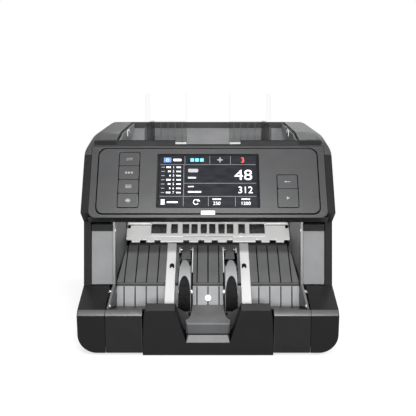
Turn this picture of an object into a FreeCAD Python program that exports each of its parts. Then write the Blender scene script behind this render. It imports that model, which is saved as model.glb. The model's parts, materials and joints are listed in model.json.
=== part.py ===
import FreeCAD, Part
import math
import operator
import os
import Sketcher

# Desktop banknote counting machine. Millimetres, +Z up, front towards -Y, origin under the middle.

Vector = FreeCAD.Vector
doc = FreeCAD.newDocument("banknote_counter")
sheet = doc.addObject("Spreadsheet::Sheet", "Sizes")


class Size:
    """A number together with the sheet expression that gives it."""

    def __init__(self, text, number):
        self.text = text
        self.number = number

    def __add__(self, other):
        return combine(self, "+", other)

    def __radd__(self, other):
        return combine(other, "+", self)

    def __sub__(self, other):
        return combine(self, "-", other)

    def __rsub__(self, other):
        return combine(other, "-", self)

    def __mul__(self, other):
        return combine(self, "*", other)

    def __rmul__(self, other):
        return combine(other, "*", self)

    def __truediv__(self, other):
        return combine(self, "/", other)

    def __rtruediv__(self, other):
        return combine(other, "/", self)

    def __neg__(self):
        return combine(-1, "*", self)


OPERATIONS = {"+": operator.add, "-": operator.sub, "*": operator.mul, "/": operator.truediv}


def as_size(item):
    if isinstance(item, Size):
        return item
    return Size(f"({item})", item)


def combine(left, sign, right):
    left = as_size(left)
    right = as_size(right)
    return Size(f"({left.text} {sign} {right.text})", OPERATIONS[sign](left.number, right.number))


def sine(angle):
    return Size(f"sin({angle.text})", math.sin(math.radians(angle.number)))


def cosine(angle):
    return Size(f"cos({angle.text})", math.cos(math.radians(angle.number)))


def tangent(angle):
    return Size(f"tan({angle.text})", math.tan(math.radians(angle.number)))


def arctangent(slope):
    return Size(f"atan({slope.text})", math.degrees(math.atan(slope.number)))


rows = []


def size(alias, number):
    """A new row of the sheet."""
    rows.append(alias)
    cell = f"A{len(rows)}"
    sheet.set(cell, str(number))
    sheet.setAlias(cell, alias)
    return Size(f"Sizes.{alias}", number)


# Whole machine
body_width = size("body_width", 260)
body_depth = size("body_depth", 248)
foot_height = size("foot_height", 3)
foot_radius = size("foot_radius", 9)
cover_wall = size("cover_wall", 3)
inner_wall = size("inner_wall", 2.5)
seam = size("seam", 0.4)
running_gap = size("running_gap", 0.3)
past = size("past", 1)
hair = size("hair", 0.01)

# Base and pocket mouth
proud = size("proud", 1.5)
ledge_height = size("ledge_height", 46.5)
ledge_bevel = size("ledge_bevel", 5)
corner_width = size("corner_width", 27.5)
corner_round = size("corner_round", 19)
lobe_height = size("lobe_height", 50)
lobe_depth = size("lobe_depth", 15)
lobe_outer = size("lobe_outer", 62)
lobe_inner = size("lobe_inner", 33)
lobe_flare = size("lobe_flare", 3.5)
recess_inner = size("recess_inner", 21.7)
recess_height = size("recess_height", 14)
recess_rise = size("recess_rise", 6)
tongue_width = size("tongue_width", 33)
tongue_flare = size("tongue_flare", 6)
tongue_setback = size("tongue_setback", 8)
tongue_front_height = size("tongue_front_height", 32)
tongue_back_height = size("tongue_back_height", 36.5)

# Columns
column_setback = size("column_setback", 44.5)
column_foot = size("column_foot", 59)
column_drop = size("column_drop", 9)
column_lean = size("column_lean", 12)
side_depth = size("side_depth", 7.5)

# Sloping head with the control panel
chin_setback = size("chin_setback", 39.5)
chin_height = size("chin_height", 133)
chin_cut = size("chin_cut", 5)
panel_lean = size("panel_lean", 32.4)
panel_length = size("panel_length", 80)
chin_under = size("chin_under", 6)
under_rise = size("under_rise", 11)
lip_rise = size("lip_rise", 4.95)
lip_depth = size("lip_depth", 8.6)
notch_width = size("notch_width", 70)
notch_depth = size("notch_depth", 4.3)
split_rise = size("split_rise", 59)
overlay_margin = size("overlay_margin", 15.5)
overlay_low = size("overlay_low", 3.8)
overlay_top_gap = size("overlay_top_gap", 3)
overlay_wall = size("overlay_wall", 1.5)
overlay_round = size("overlay_round", 9)
groove = size("groove", 0.9)
display_width = size("display_width", 106.8)
display_tall = size("display_tall", 60.6)
display_rim = size("display_rim", 0.7)
key_shift = size("key_shift", 1.3)
key_pitch = size("key_pitch", 15.45)
key_width = size("key_width", 20.6)
key_margin = size("key_margin", 37.4)
key_travel = size("key_travel", 0.8)
key_proud = size("key_proud", 0.4)
light_width = size("light_width", 14.4)
light_tall = size("light_tall", 3.6)

# Top cover and hopper
crown_rise = size("crown_rise", 8.5)
shoulder_round = size("shoulder_round", 14)
shoulder_fall = size("shoulder_fall", 7)
shoulder_width = size("shoulder_width", 33.2)
crest_run = size("crest_run", 30)
crest_drop = size("crest_drop", 2)
crest_round = size("crest_round", 120)
rim_depth = size("rim_depth", 12)
throat_gap = size("throat_gap", 10)
hopper_rise = size("hopper_rise", 27)
rim_drop = size("rim_drop", 8)
guide_margin = size("guide_margin", 28.8)
guide_reach = size("guide_reach", 42.5)
guide_depth = size("guide_depth", 83.5)
guide_height = size("guide_height", 252)
guide_lean = size("guide_lean", 20)
guide_travel_in = size("guide_travel_in", 20)
guide_travel_out = size("guide_travel_out", 22)
guide_tab = size("guide_tab", 12)
guide_lift = size("guide_lift", 5)
guide_rib_pitch = size("guide_rib_pitch", 8.5)
guide_rib_width = size("guide_rib_width", 1.4)
guide_rib_height = size("guide_rib_height", 1.2)

# Stacker
pocket_margin = size("pocket_margin", 33)
pocket_flare = size("pocket_flare", 2.4)
pocket_mouth_setback = size("pocket_mouth_setback", 12)
pocket_taper = size("pocket_taper", 6.4)
pocket_bend_setback = size("pocket_bend_setback", 62.5)
pocket_throat_setback = size("pocket_throat_setback", 100)
floor_back = size("floor_back", 47)
floor_back_height = size("floor_back_height", 35)
chute_setback = size("chute_setback", 54)
chute_height = size("chute_height", 59)
chute_tip_gap = size("chute_tip_gap", 1.4)
chute_tip_rise = size("chute_tip_rise", 8)
flute_pitch = size("flute_pitch", 11.7)
flute_margin = size("flute_margin", 7.7)
flute_width = size("flute_width", 1.3)
flute_depth = size("flute_depth", 1.2)
wheel_setback = size("wheel_setback", 58)
wheel_height = size("wheel_height", 47)
wheel_radius = size("wheel_radius", 38)
hub_radius = size("hub_radius", 36)
hub_fall = size("hub_fall", 10)
hub_core = size("hub_core", 18)
arm_tip_angle = size("arm_tip_angle", 90)
arm_swing = size("arm_swing", 30)
arm_taper = size("arm_taper", 36)
wheel_width = size("wheel_width", 12.4)
wheel_spread = size("wheel_spread", 24)
vane_wall = size("vane_wall", 2)
vane_count = size("vane_count", 3)
vane_sweep = size("vane_sweep", 70)
vane_fall = size("vane_fall", 22)
vane_swing = size("vane_swing", 13)
vane_taper = size("vane_taper", 18)
vane_tip_angle = size("vane_tip_angle", 45)
wheel_slot_gap = size("wheel_slot_gap", 1.7)
strip_inner = size("strip_inner", 35)
strip_width = size("strip_width", 9.8)
strip_low_setback = size("strip_low_setback", 25)
strip_over = size("strip_over", 1.2)
strip_wall = size("strip_wall", 1.6)
comb_setback = size("comb_setback", 91.1304)
comb_drop = size("comb_drop", 19.01)
comb_lean = size("comb_lean", 51.5)
comb_length = size("comb_length", 28)
tooth_length = size("tooth_length", 3)
window_centre = size("window_centre", 13.5)
window_tall = size("window_tall", 18.4)
roller_radius = size("roller_radius", 10)
roller_proud = size("roller_proud", 2)
sensor_radius = size("sensor_radius", 3.2)

# Drive and frame
shaft_radius = size("shaft_radius", 4)
frame_inset = size("frame_inset", 26)
frame_wall = size("frame_wall", 2.5)
bush_radius = size("bush_radius", 6)
nip_lean = size("nip_lean", 11.08)
exit_radius = size("exit_radius", 9.6)
feed_offset = size("feed_offset", 24)
feed_drop = size("feed_drop", 9.5)
feed_radius = size("feed_radius", 20)
feed_width = size("feed_width", 10)
feed_inner = size("feed_inner", 14)
feed_outer = size("feed_outer", 36)
motor_margin = size("motor_margin", 68)
motor_height = size("motor_height", 45)
motor_radius = size("motor_radius", 21)
motor_length = size("motor_length", 60)
motor_pulley_radius = size("motor_pulley_radius", 8)
feed_pulley_radius = size("feed_pulley_radius", 16)
exit_pulley_radius = size("exit_pulley_radius", 10)
stacker_pulley_radius = size("stacker_pulley_radius", 12)
belt_wall = size("belt_wall", 1.5)
belt_width = size("belt_width", 5)
rod_radius = size("rod_radius", 4)

# Rear
rear_wall = size("rear_wall", 6)
door_low = size("door_low", 62.5)
door_rail = size("door_rail", 4.1)
door_wall = size("door_wall", 3)
hinge_radius = size("hinge_radius", 1.2)
inlet_margin = size("inlet_margin", 46.1)
inlet_height = size("inlet_height", 35)
inlet_width = size("inlet_width", 28)
inlet_tall = size("inlet_tall", 22)
inlet_depth = size("inlet_depth", 20)
switch_width = size("switch_width", 14)
rocker_tilt = size("rocker_tilt", 7)
doc.recompute()

# Angles in degrees
right_angle = 90
half_turn = 2 * right_angle
full_turn = 2 * half_turn

# Widths, measured from the middle
half = body_width / 2
base_half = half - side_depth - seam
pocket_half = half - pocket_margin
pocket_mouth = pocket_half + pocket_flare
pocket_throat = pocket_half - pocket_taper
hopper_half = half - shoulder_width
guide_half_gap = hopper_half - guide_margin
overlay_half = half - overlay_margin
key_outer = half - key_margin
key_inner = key_outer - key_width
frame_inner = half - frame_inset
door_half = base_half - door_rail
inlet_offset = base_half - inlet_margin

# Places from front to back; a setback is measured backwards from the front of the base
front = -body_depth / 2
back = body_depth / 2
lip_setback = chin_setback + panel_length * sine(panel_lean) + chin_cut + lip_depth
hopper_low_setback = lip_setback + throat_gap
hopper_back = body_depth - rim_depth
guide_front = hopper_low_setback
guide_back = guide_front + guide_depth
feed_setback = hopper_low_setback + feed_offset
motor_setback = body_depth - motor_margin

# Heights above the ground
panel_top_height = chin_height + panel_length * cosine(panel_lean)
lip_height = panel_top_height + lip_rise
body_height = lip_height + crown_rise
top_split = chin_height + split_rise
column_top = chin_height - column_drop
under_front_height = chin_height - chin_under
under_back_height = under_front_height - under_rise
hopper_low_height = chin_height + hopper_rise
hopper_high_height = body_height - rim_drop
comb_height = under_back_height - comb_drop
feed_height = hopper_low_height - feed_drop

# Axes of the outlet rollers and of the exit rollers that they meet
roller_depth = roller_radius - roller_proud
outlet_setback = comb_setback + window_centre * sine(comb_lean) + roller_depth * cosine(comb_lean)
outlet_height = comb_height + window_centre * cosine(comb_lean) - roller_depth * sine(comb_lean)
nip_distance = roller_radius + exit_radius + running_gap
exit_setback = outlet_setback + nip_distance * sine(nip_lean)
exit_height = outlet_height - nip_distance * cosine(nip_lean)


def bind(item, prop, amount):
    item.setExpression(prop, as_size(amount).text)


def behind(setback):
    """A place measured backwards from the front of the base."""
    return front + setback


def origin_plane(body, role):
    return next(item for item in body.Origin.OriginFeatures if item.Role == role)


def outline(body, role, points, offset):
    """A closed polygon sketch on one of the body's own planes, every corner bound to the sheet."""
    points = [(as_size(across), as_size(up)) for across, up in points]
    sketch = body.newObject("Sketcher::SketchObject", "Outline")
    sketch.AttachmentSupport = [(origin_plane(body, role), "")]
    sketch.MapMode = "FlatFace"
    bind(sketch, "AttachmentOffset.Base.z", offset)
    corners = [Vector(across.number, up.number, 0) for across, up in points]
    count = len(corners)
    for index, corner in enumerate(corners):
        sketch.addGeometry(Part.LineSegment(corner, corners[(index + 1) % count]), False)
    for index in range(count):
        sketch.addConstraint(Sketcher.Constraint("Coincident", index, 2, (index + 1) % count, 1))
    for index, (across, up) in enumerate(points):
        for kind, amount in (("DistanceX", across), ("DistanceY", up)):
            place = sketch.addConstraint(Sketcher.Constraint(kind, -1, 1, index, 1, amount.number))
            bind(sketch, f"Constraints[{place}]", amount)
    return sketch


def add_prism(body, role, points, start, end):
    """Material between two positions along the axis square to the plane."""
    offset = -as_size(end) if role == "XZ_Plane" else start
    feature = body.newObject("PartDesign::Pad", "Pad")
    feature.Profile = outline(body, role, points, offset)
    bind(feature, "Length", as_size(end) - start)
    doc.recompute()
    return feature


def cut_prism(body, role, points, start, end):
    """Material taken away between two positions along the axis square to the plane."""
    offset = -as_size(start) if role == "XZ_Plane" else end
    feature = body.newObject("PartDesign::Pocket", "Pocket")
    feature.Profile = outline(body, role, points, offset)
    bind(feature, "Length", as_size(end) - start)
    doc.recompute()
    return feature


def new_body(label):
    body = doc.addObject("PartDesign::Body", "Body")
    body.Label = label
    return body


def prism(label, role, points, start, end):
    body = new_body(label)
    add_prism(body, role, points, start, end)
    return body


def rectangle(left, right, low, high):
    return [(left, low), (right, low), (right, high), (left, high)]


def block(label, across, along, up):
    """A rectangular solid from three pairs of start and end."""
    item = doc.addObject("Part::Box", "Block")
    item.Label = label
    names = (("Length", "x"), ("Width", "y"), ("Height", "z"))
    for (prop, axis), (start, end) in zip(names, (across, along, up)):
        bind(item, prop, as_size(end) - start)
        bind(item, f"Placement.Base.{axis}", start)
    return item


def rod(label, along, up, start, end, radius):
    """A cylinder whose axis runs across the machine."""
    item = doc.addObject("Part::Cylinder", "Rod")
    item.Label = label
    item.Placement = FreeCAD.Placement(Vector(), FreeCAD.Rotation(Vector(0, 1, 0), 90))
    bind(item, "Radius", radius)
    bind(item, "Height", as_size(end) - start)
    bind(item, "Placement.Base.x", start)
    bind(item, "Placement.Base.y", along)
    bind(item, "Placement.Base.z", up)
    return item


def post(label, across, start, end, up, radius):
    """A cylinder whose axis runs from front to back."""
    item = doc.addObject("Part::Cylinder", "Post")
    item.Label = label
    item.Placement = FreeCAD.Placement(Vector(), FreeCAD.Rotation(Vector(1, 0, 0), -90))
    bind(item, "Radius", radius)
    bind(item, "Height", as_size(end) - start)
    bind(item, "Placement.Base.x", across)
    bind(item, "Placement.Base.y", start)
    bind(item, "Placement.Base.z", up)
    return item


def together(kind, label, members):
    item = doc.addObject(kind, "Joined")
    item.Label = label
    if kind == "Part::Compound":
        item.Links = members
    else:
        item.Shapes = members
    doc.recompute()
    return item


def fused(label, members):
    return together("Part::MultiFuse", label, members)


def group(label, members):
    return together("Part::Compound", label, members)


def two_solids(kind, label, base, tool):
    item = doc.addObject(kind, "Result")
    item.Label = label
    item.Base = base
    item.Tool = tool
    doc.recompute()
    return item


def without(label, base, tool):
    return two_solids("Part::Cut", label, base, tool)


def shared(label, base, tool):
    return two_solids("Part::Common", label, base, tool)


def mirrored(label, source):
    item = doc.addObject("Part::Mirroring", "Mirrored")
    item.Label = label
    item.Source = source
    item.Normal = Vector(1, 0, 0)
    doc.recompute()
    return item


def edge_names(shape, wanted):
    return [f"Edge{index}" for index, edge in enumerate(shape.Edges, start=1) if wanted(edge)]


def face_names(shape, wanted):
    return [f"Face{index}" for index, face in enumerate(shape.Faces, start=1) if wanted(face)]


def at(value, place):
    return abs(value - as_size(place).number) < 0.01


def straight_along(edge, axis):
    first = edge.Vertexes[0].Point
    last = edge.Vertexes[-1].Point
    change = last - first
    return abs(change[axis]) > 0.01 and abs(abs(change[axis]) - change.Length) < 0.001


def rounded(body, wanted, radius):
    """Round the chosen edges of the newest feature."""
    feature = body.Tip
    fillet = body.newObject("PartDesign::Fillet", "Round")
    fillet.Base = (feature, edge_names(feature.Shape, wanted))
    bind(fillet, "Radius", radius)
    doc.recompute()


def hollowed(body, wanted, wall):
    """Turn the body into a shell that is open at the chosen faces."""
    feature = body.Tip
    shell = body.newObject("PartDesign::Thickness", "Shell")
    shell.Base = (feature, face_names(feature.Shape, wanted))
    shell.Join = "Intersection"
    shell.Reversed = True
    bind(shell, "Value", wall)
    doc.recompute()


def tilt(item, along, up, lean):
    """Stand a piece built upright on a plane that leans backwards."""
    item.Placement = FreeCAD.Placement(Vector(), FreeCAD.Rotation(Vector(1, 0, 0), -1))
    bind(item, "Placement.Base.y", along)
    bind(item, "Placement.Base.z", up)
    bind(item, "Placement.Rotation.Angle", -as_size(lean))
    return item


nodes = {}


def node(item):
    """Keep a finished piece under its label."""
    nodes[item.Label] = item
    return item


def pair(source, stem):
    """A left piece and its mirror image on the right."""
    source.Label = f"{stem}_left"
    node(source)
    node(mirrored(f"{stem}_right", source))


# Base plate and feet
plate_top = foot_height + cover_wall
corner_inner = half - corner_width
fascia_half = corner_inner - seam
pan = prism("pan_plate", "XY_Plane", [
    (-fascia_half, behind(lobe_depth + seam)),
    (fascia_half, behind(lobe_depth + seam)),
    (fascia_half, behind(column_setback + seam)),
    (base_half, behind(column_setback + seam)),
    (base_half, back - rear_wall - seam),
    (-base_half, back - rear_wall - seam),
    (-base_half, behind(column_setback + seam)),
    (-fascia_half, behind(column_setback + seam)),
], foot_height, plate_top)
pan_rear = back - rear_wall - seam
add_prism(pan, "XY_Plane", rectangle(-base_half, base_half, pan_rear - cover_wall, pan_rear),
          foot_height, plate_top + 4 * cover_wall)

foot_front = behind(lobe_depth + seam + foot_radius * 1.5)
foot_rear = back - rear_wall - 2 * foot_radius
feet = []
for across, along in ((fascia_half - 2 * foot_radius, foot_front), (base_half - 2 * foot_radius, foot_rear)):
    for side in (-1, 1):
        foot = doc.addObject("Part::Cone", "Foot")
        bind(foot, "Radius1", foot_radius * 0.9)
        bind(foot, "Radius2", foot_radius)
        bind(foot, "Height", foot_height)
        bind(foot, "Placement.Base.x", across * side)
        bind(foot, "Placement.Base.y", along)
        feet.append(foot)
node(group("feet", feet))

# Front corners of the base
base_low = foot_height - seam
corner_face = behind(proud)
corner_back = behind(column_setback)


def corner_solid(label, wall, inner_end, back_end):
    """Front corner of the base, or its inside when a wall is taken off."""
    body = prism(label, "YZ_Plane", [
        (corner_face + wall, base_low + wall),
        (back_end, base_low + wall),
        (back_end, column_foot - wall),
        (corner_face + ledge_bevel + wall / 2, ledge_height - wall),
        (corner_face + wall, ledge_height - ledge_bevel - wall / 2),
    ], -half + wall, inner_end)
    rounded(body, lambda edge: straight_along(edge, 1) and at(edge.CenterOfMass.x, -half + wall)
            and at(edge.CenterOfMass.z, base_low + wall), corner_round - wall)
    return body


corner = without("base_corner_left", corner_solid("corner_outside", as_size(0), -corner_inner, corner_back),
                 corner_solid("corner_inside", cover_wall, -corner_inner + past, corner_back + past))
pair(corner, "base_corner")

# Fascia halves with the sloping pocket floor
floor_fall = (ledge_height - floor_back_height) / (floor_back - proud - ledge_bevel)


def pocket_floor(setback):
    """Height of the pocket floor at a place behind the front."""
    return ledge_height - (as_size(setback) - proud - ledge_bevel) * floor_fall


lobe_foot = lobe_outer + lobe_flare
fascia = prism("base_fascia_left", "YZ_Plane", [
    (corner_face, base_low),
    (corner_face + cover_wall, base_low),
    (corner_face + cover_wall, ledge_height - ledge_bevel - cover_wall / 2),
    (corner_face + ledge_bevel + cover_wall / 2, ledge_height - cover_wall),
    (behind(floor_back), floor_back_height - cover_wall),
    (behind(floor_back), floor_back_height),
    (corner_face + ledge_bevel, ledge_height),
    (corner_face, ledge_height - ledge_bevel),
], -fascia_half, -lobe_inner - seam)
lobe_space = rectangle(-lobe_foot - seam, -lobe_inner, front - past, behind(lobe_depth + seam))
cut_prism(fascia, "XY_Plane", lobe_space, base_low - past, lobe_height)
node(group("base_fascia", [fascia, mirrored("base_fascia_right_half", fascia)]))

# Centre block with the two lobes and the finger recess between them
lobes = prism("stacker_front", "XZ_Plane", [
    (-lobe_foot, base_low),
    (lobe_foot, base_low),
    (lobe_outer + lobe_flare / 2, ledge_height - ledge_bevel),
    (lobe_outer, lobe_height),
    (lobe_inner, lobe_height),
    (recess_inner, recess_height),
    (-recess_inner, recess_height),
    (-lobe_inner, lobe_height),
    (-lobe_outer, lobe_height),
    (-lobe_outer - lobe_flare / 2, ledge_height - ledge_bevel),
], front, behind(lobe_depth))
hollowed(lobes, lambda face: at(face.CenterOfMass.y, behind(lobe_depth)), inner_wall)
add_prism(lobes, "YZ_Plane", [
    (front, recess_height - inner_wall),
    (behind(lobe_depth), recess_height - inner_wall),
    (behind(lobe_depth), recess_height + recess_rise),
    (front + recess_rise, recess_height + recess_rise),
    (front, recess_height),
], -recess_inner, recess_inner)
cut_prism(lobes, "YZ_Plane", [
    (front - past, lobe_height - recess_rise / 2),
    (behind(lobe_depth), lobe_height),
    (behind(lobe_depth), lobe_height + past),
    (front - past, lobe_height + past),
], -lobe_foot, lobe_foot)
node(lobes)

# Tongue between the stacker wheels
tongue_half = tongue_width / 2
tongue_front = behind(tongue_setback)
tongue_back = behind(floor_back)
tongue_low = recess_height + recess_rise + seam
tongue = prism("finger_tongue", "XY_Plane", [
    (-tongue_half - tongue_flare, tongue_front),
    (tongue_half + tongue_flare, tongue_front),
    (tongue_half + tongue_flare, tongue_front + tongue_flare),
    (tongue_half, tongue_front + 2 * tongue_flare),
    (tongue_half, tongue_back),
    (-tongue_half, tongue_back),
    (-tongue_half, tongue_front + 2 * tongue_flare),
    (-tongue_half - tongue_flare, tongue_front + tongue_flare),
], tongue_low, tongue_back_height + past)
rounded(tongue, lambda edge: straight_along(edge, 2) and at(edge.CenterOfMass.y, tongue_front),
        tongue_flare / 2)
tongue_reach = tongue_half + tongue_flare + past
cut_prism(tongue, "YZ_Plane", [
    (tongue_front - past, tongue_front_height),
    (tongue_front + seam, tongue_front_height),
    (tongue_back, tongue_back_height),
    (tongue_back, tongue_back_height + 2 * past),
    (tongue_front - past, tongue_back_height + 2 * past),
], -tongue_reach, tongue_reach)
cut_prism(tongue, "YZ_Plane", [
    (tongue_front + cover_wall, tongue_low - past),
    (tongue_back + past, tongue_low - past),
    (tongue_back + past, tongue_back_height - cover_wall),
    (tongue_front + cover_wall, tongue_front_height - cover_wall),
], -tongue_reach, tongue_reach)
node(tongue)

# Side covers: shallow trays that follow the whole side outline
panel_slope = tangent(panel_lean)
chin_front = behind(chin_setback)
chin_side_height = chin_height + chin_cut * 0.8
side_front = behind(column_setback + seam)
column_rise = (column_top - column_foot) * tangent(column_lean)
side = prism("side_cover_left", "YZ_Plane", [
    (side_front, base_low),
    (back, base_low),
    (back, top_split - seam),
    (chin_front + (top_split - seam - chin_height) * panel_slope, top_split - seam),
    (chin_front + (chin_side_height - chin_height) * panel_slope, chin_side_height),
    (side_front + column_rise, column_top),
    (side_front, column_foot),
], -half, -half + side_depth)
rounded(side, lambda edge: straight_along(edge, 1) and at(edge.CenterOfMass.x, -half)
        and at(edge.CenterOfMass.z, base_low), side_depth * 0.9)
hollowed(side, lambda face: at(face.CenterOfMass.x, -half + side_depth), cover_wall)
pair(side, "side_cover")

# Light panels on the front of the columns
column_half = base_half
column_inner = pocket_half + inner_wall + seam
column_face = side_front + seam + cover_wall / 2
column_high = column_top - cover_wall
column = prism("column_panel_left", "YZ_Plane", [
    (column_face, column_foot + seam),
    (column_face + inner_wall, column_foot + seam),
    (column_face + inner_wall + (column_high - column_foot) * tangent(column_lean), column_high),
    (column_face + (column_high - column_foot) * tangent(column_lean), column_high),
], -column_half, -column_inner)
pair(column, "column_panel")

# Head shell: chin, sloping face, lip and the wall in front of the hopper
head_half = base_half
panel_top_along = chin_front + panel_length * sine(panel_lean)
under_back = behind(pocket_throat_setback)
lip_along = behind(lip_setback)
lip_low = hopper_low_height + 2 * cover_wall
head = prism("head_outer", "YZ_Plane", [
    (under_back, under_back_height),
    (chin_front + chin_cut, under_front_height),
    (chin_front, chin_height),
    (panel_top_along, panel_top_height),
    (panel_top_along + chin_cut, lip_height),
    (lip_along, lip_height),
    (lip_along, lip_low),
    (lip_along - cover_wall, lip_low),
    (lip_along - cover_wall, lip_height - cover_wall),
    (panel_top_along + chin_cut + cover_wall / 2, lip_height - cover_wall),
    (panel_top_along + cover_wall, panel_top_height - cover_wall / 2),
    (chin_front + cover_wall * 1.2, chin_height + cover_wall / 4),
    (chin_front + chin_cut + cover_wall / 2, under_front_height + cover_wall),
    (under_back, under_back_height + cover_wall),
], -head_half, head_half)
for side_of in (-1, 1):
    inner_edge = hopper_half - seam
    spans = (inner_edge, head_half + past) if side_of > 0 else (-head_half - past, -inner_edge)
    cut_prism(head, "YZ_Plane", [
        (panel_top_along - cover_wall, panel_top_height + hair),
        (lip_along + past, panel_top_height + hair),
        (lip_along + past, lip_height + past),
        (panel_top_along - cover_wall, lip_height + past),
    ], spans[0], spans[1])
cut_prism(head, "XZ_Plane", rectangle(-notch_width / 2, notch_width / 2,
                                      lip_height - notch_depth, lip_height + past),
          panel_top_along - cover_wall, lip_along + past)
overlay_high = panel_length - overlay_top_gap


def on_panel(item):
    """Lay a piece built upright against the sloping face of the head."""
    return tilt(item, chin_front, chin_height, panel_lean)


def overlay_shape(label, grow, start, end):
    body = prism(label, "XZ_Plane", rectangle(-overlay_half - grow, overlay_half + grow,
                                              overlay_low - grow, overlay_high + grow), start, end)
    rounded(body, lambda edge: straight_along(edge, 1), overlay_round)
    return body


display_half = display_width / 2
display_low = (overlay_low + overlay_high + display_rim) / 2 - display_tall / 2
key_gap = 2 * running_gap
key_low = (overlay_low + overlay_high) / 2 + key_shift - 2 * key_pitch
right_key_split = key_low + key_pitch * 4 / 3
keys_high = {-1: key_low + 4 * key_pitch, 1: right_key_split + key_pitch}


def panel_holes(label, display_grow, key_grow, start, end):
    """Openings for the display, the two key columns and the status light."""
    holes = [
        block("hole", (-display_half - display_grow, display_half + display_grow), (start, end),
              (display_low - display_grow, display_low + display_tall + display_grow)),
        block("hole", (-light_width / 2 - running_gap, light_width / 2 + running_gap), (start, end),
              (overlay_low - groove, overlay_low + light_tall)),
    ]
    for side_of in (-1, 1):
        near = key_inner * side_of
        far = key_outer * side_of
        low, high = (near, far) if side_of > 0 else (far, near)
        holes.append(block("hole", (low - key_grow, high + key_grow), (start, end),
                           (key_low - key_grow, keys_high[side_of] + key_grow)))
    return group(label, holes)


recess = overlay_shape("panel_recess", groove, -past, overlay_wall)
shell_holes = panel_holes("shell_holes", display_rim + running_gap, key_gap, 0, cover_wall * 3)
head_tools = fused("head_tools", [recess, shell_holes])
on_panel(head_tools)
node(without("head_shell", head, head_tools))

overlay = without("control_panel", overlay_shape("overlay", 0, 0, overlay_wall),
                  panel_holes("overlay_holes", 0, key_gap / 2, -past, cover_wall))
node(on_panel(overlay))

glass_low = display_low - display_rim
glass_high = display_low + display_tall + display_rim
node(on_panel(prism("display_window", "XZ_Plane",
                    rectangle(-display_half - display_rim, display_half + display_rim, glass_low, glass_high),
                    overlay_wall, cover_wall)))
module_rim = 3 * display_rim
node(on_panel(prism("display_module", "XZ_Plane",
                    rectangle(-display_half - module_rim, display_half + module_rim,
                              glass_low - module_rim, glass_high + module_rim),
                    cover_wall * 1.2, cover_wall * 3)))
light_low = overlay_low - groove + running_gap / 2
light_high = overlay_low + light_tall - running_gap / 2
node(on_panel(prism("status_light", "XZ_Plane",
                    rectangle(-light_width / 2, light_width / 2, light_low, light_high),
                    -running_gap / 2, cover_wall)))

# Keys and the switch boards behind them
key_cap = cover_wall * 0.8
stem_end = cover_wall * 1.3
switch_face = stem_end + key_travel + running_gap / 2
board_face = switch_face + cover_wall
board_back = board_face + overlay_wall
key_rows = {
    "key_change": (-1, key_low + 3 * key_pitch, key_low + 4 * key_pitch),
    "key_mode": (-1, key_low + 2 * key_pitch, key_low + 3 * key_pitch),
    "key_menu": (-1, key_low + key_pitch, key_low + 2 * key_pitch),
    "key_print": (-1, key_low, key_low + key_pitch),
    "key_escape": (1, right_key_split, right_key_split + key_pitch),
    "key_start": (1, key_low, right_key_split),
}
switches = {-1: [], 1: []}
for name, (side_of, low, high) in key_rows.items():
    middle = (key_inner + key_width / 2) * side_of
    centre = (low + high) / 2
    cap = prism(name, "XZ_Plane", rectangle(middle - key_width / 2, middle + key_width / 2,
                                            low + running_gap, high - running_gap), -key_proud, key_cap)
    rounded(cap, lambda edge: straight_along(edge, 1), key_proud * 3)
    stem_half = key_pitch / 8
    add_prism(cap, "XZ_Plane", rectangle(middle - stem_half, middle + stem_half,
                                         centre - stem_half, centre + stem_half), key_cap, stem_end)
    node(on_panel(cap))
    switches[side_of].append((middle, centre))

boards = []
for side_of, places in switches.items():
    middle = (key_inner + key_width / 2) * side_of
    low = key_low - key_pitch / 3
    high = keys_high[side_of] + key_pitch / 8
    plate = rectangle(middle - key_width * 0.6, middle + key_width * 0.6, low, high)
    board = prism("board", "XZ_Plane", plate, board_face, board_back)
    for across, centre in places:
        reach = key_pitch / 5
        switch = rectangle(across - reach, across + reach, centre - reach, centre + reach)
        add_prism(board, "XZ_Plane", switch, switch_face, board_face)
    ledge = rectangle(middle - key_width * 0.4, middle + key_width * 0.4, low, low + cover_wall)
    add_prism(board, "XZ_Plane", ledge, cover_wall, board_face)
    boards.append(board)
node(on_panel(group("key_board", boards)))

# Top cover with the shoulders and the rear rim
split_front = chin_front + (top_split - chin_height) * panel_slope
lip_front = panel_top_along + chin_cut + seam
shoulder_height = body_height - shoulder_fall


def shoulder_line(inset, low):
    """Side outline of the top cover, moved inwards by a wall."""
    return [
        (split_front + inset, low),
        (back - inset, low),
        (back - inset, body_height - inset),
        (lip_front + crest_run, body_height - crest_drop - inset),
        (lip_front + inset, shoulder_height - inset),
        (panel_top_along + seam + inset, panel_top_height + seam),
    ]


def crest_edge(edge, inset):
    """The edge across the top where the shoulders stop rising."""
    return straight_along(edge, 0) and at(edge.CenterOfMass.z, body_height - crest_drop - inset)


def shoulder_edges(edge, reach):
    """Upper edges that run from front to back along one side."""
    centre = edge.CenterOfMass
    if not at(abs(centre.x), reach):
        return False
    runs_back = abs(edge.tangentAt(edge.FirstParameter).y) > 0.9
    return runs_back and centre.z > (shoulder_height - 2 * cover_wall).number


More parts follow.
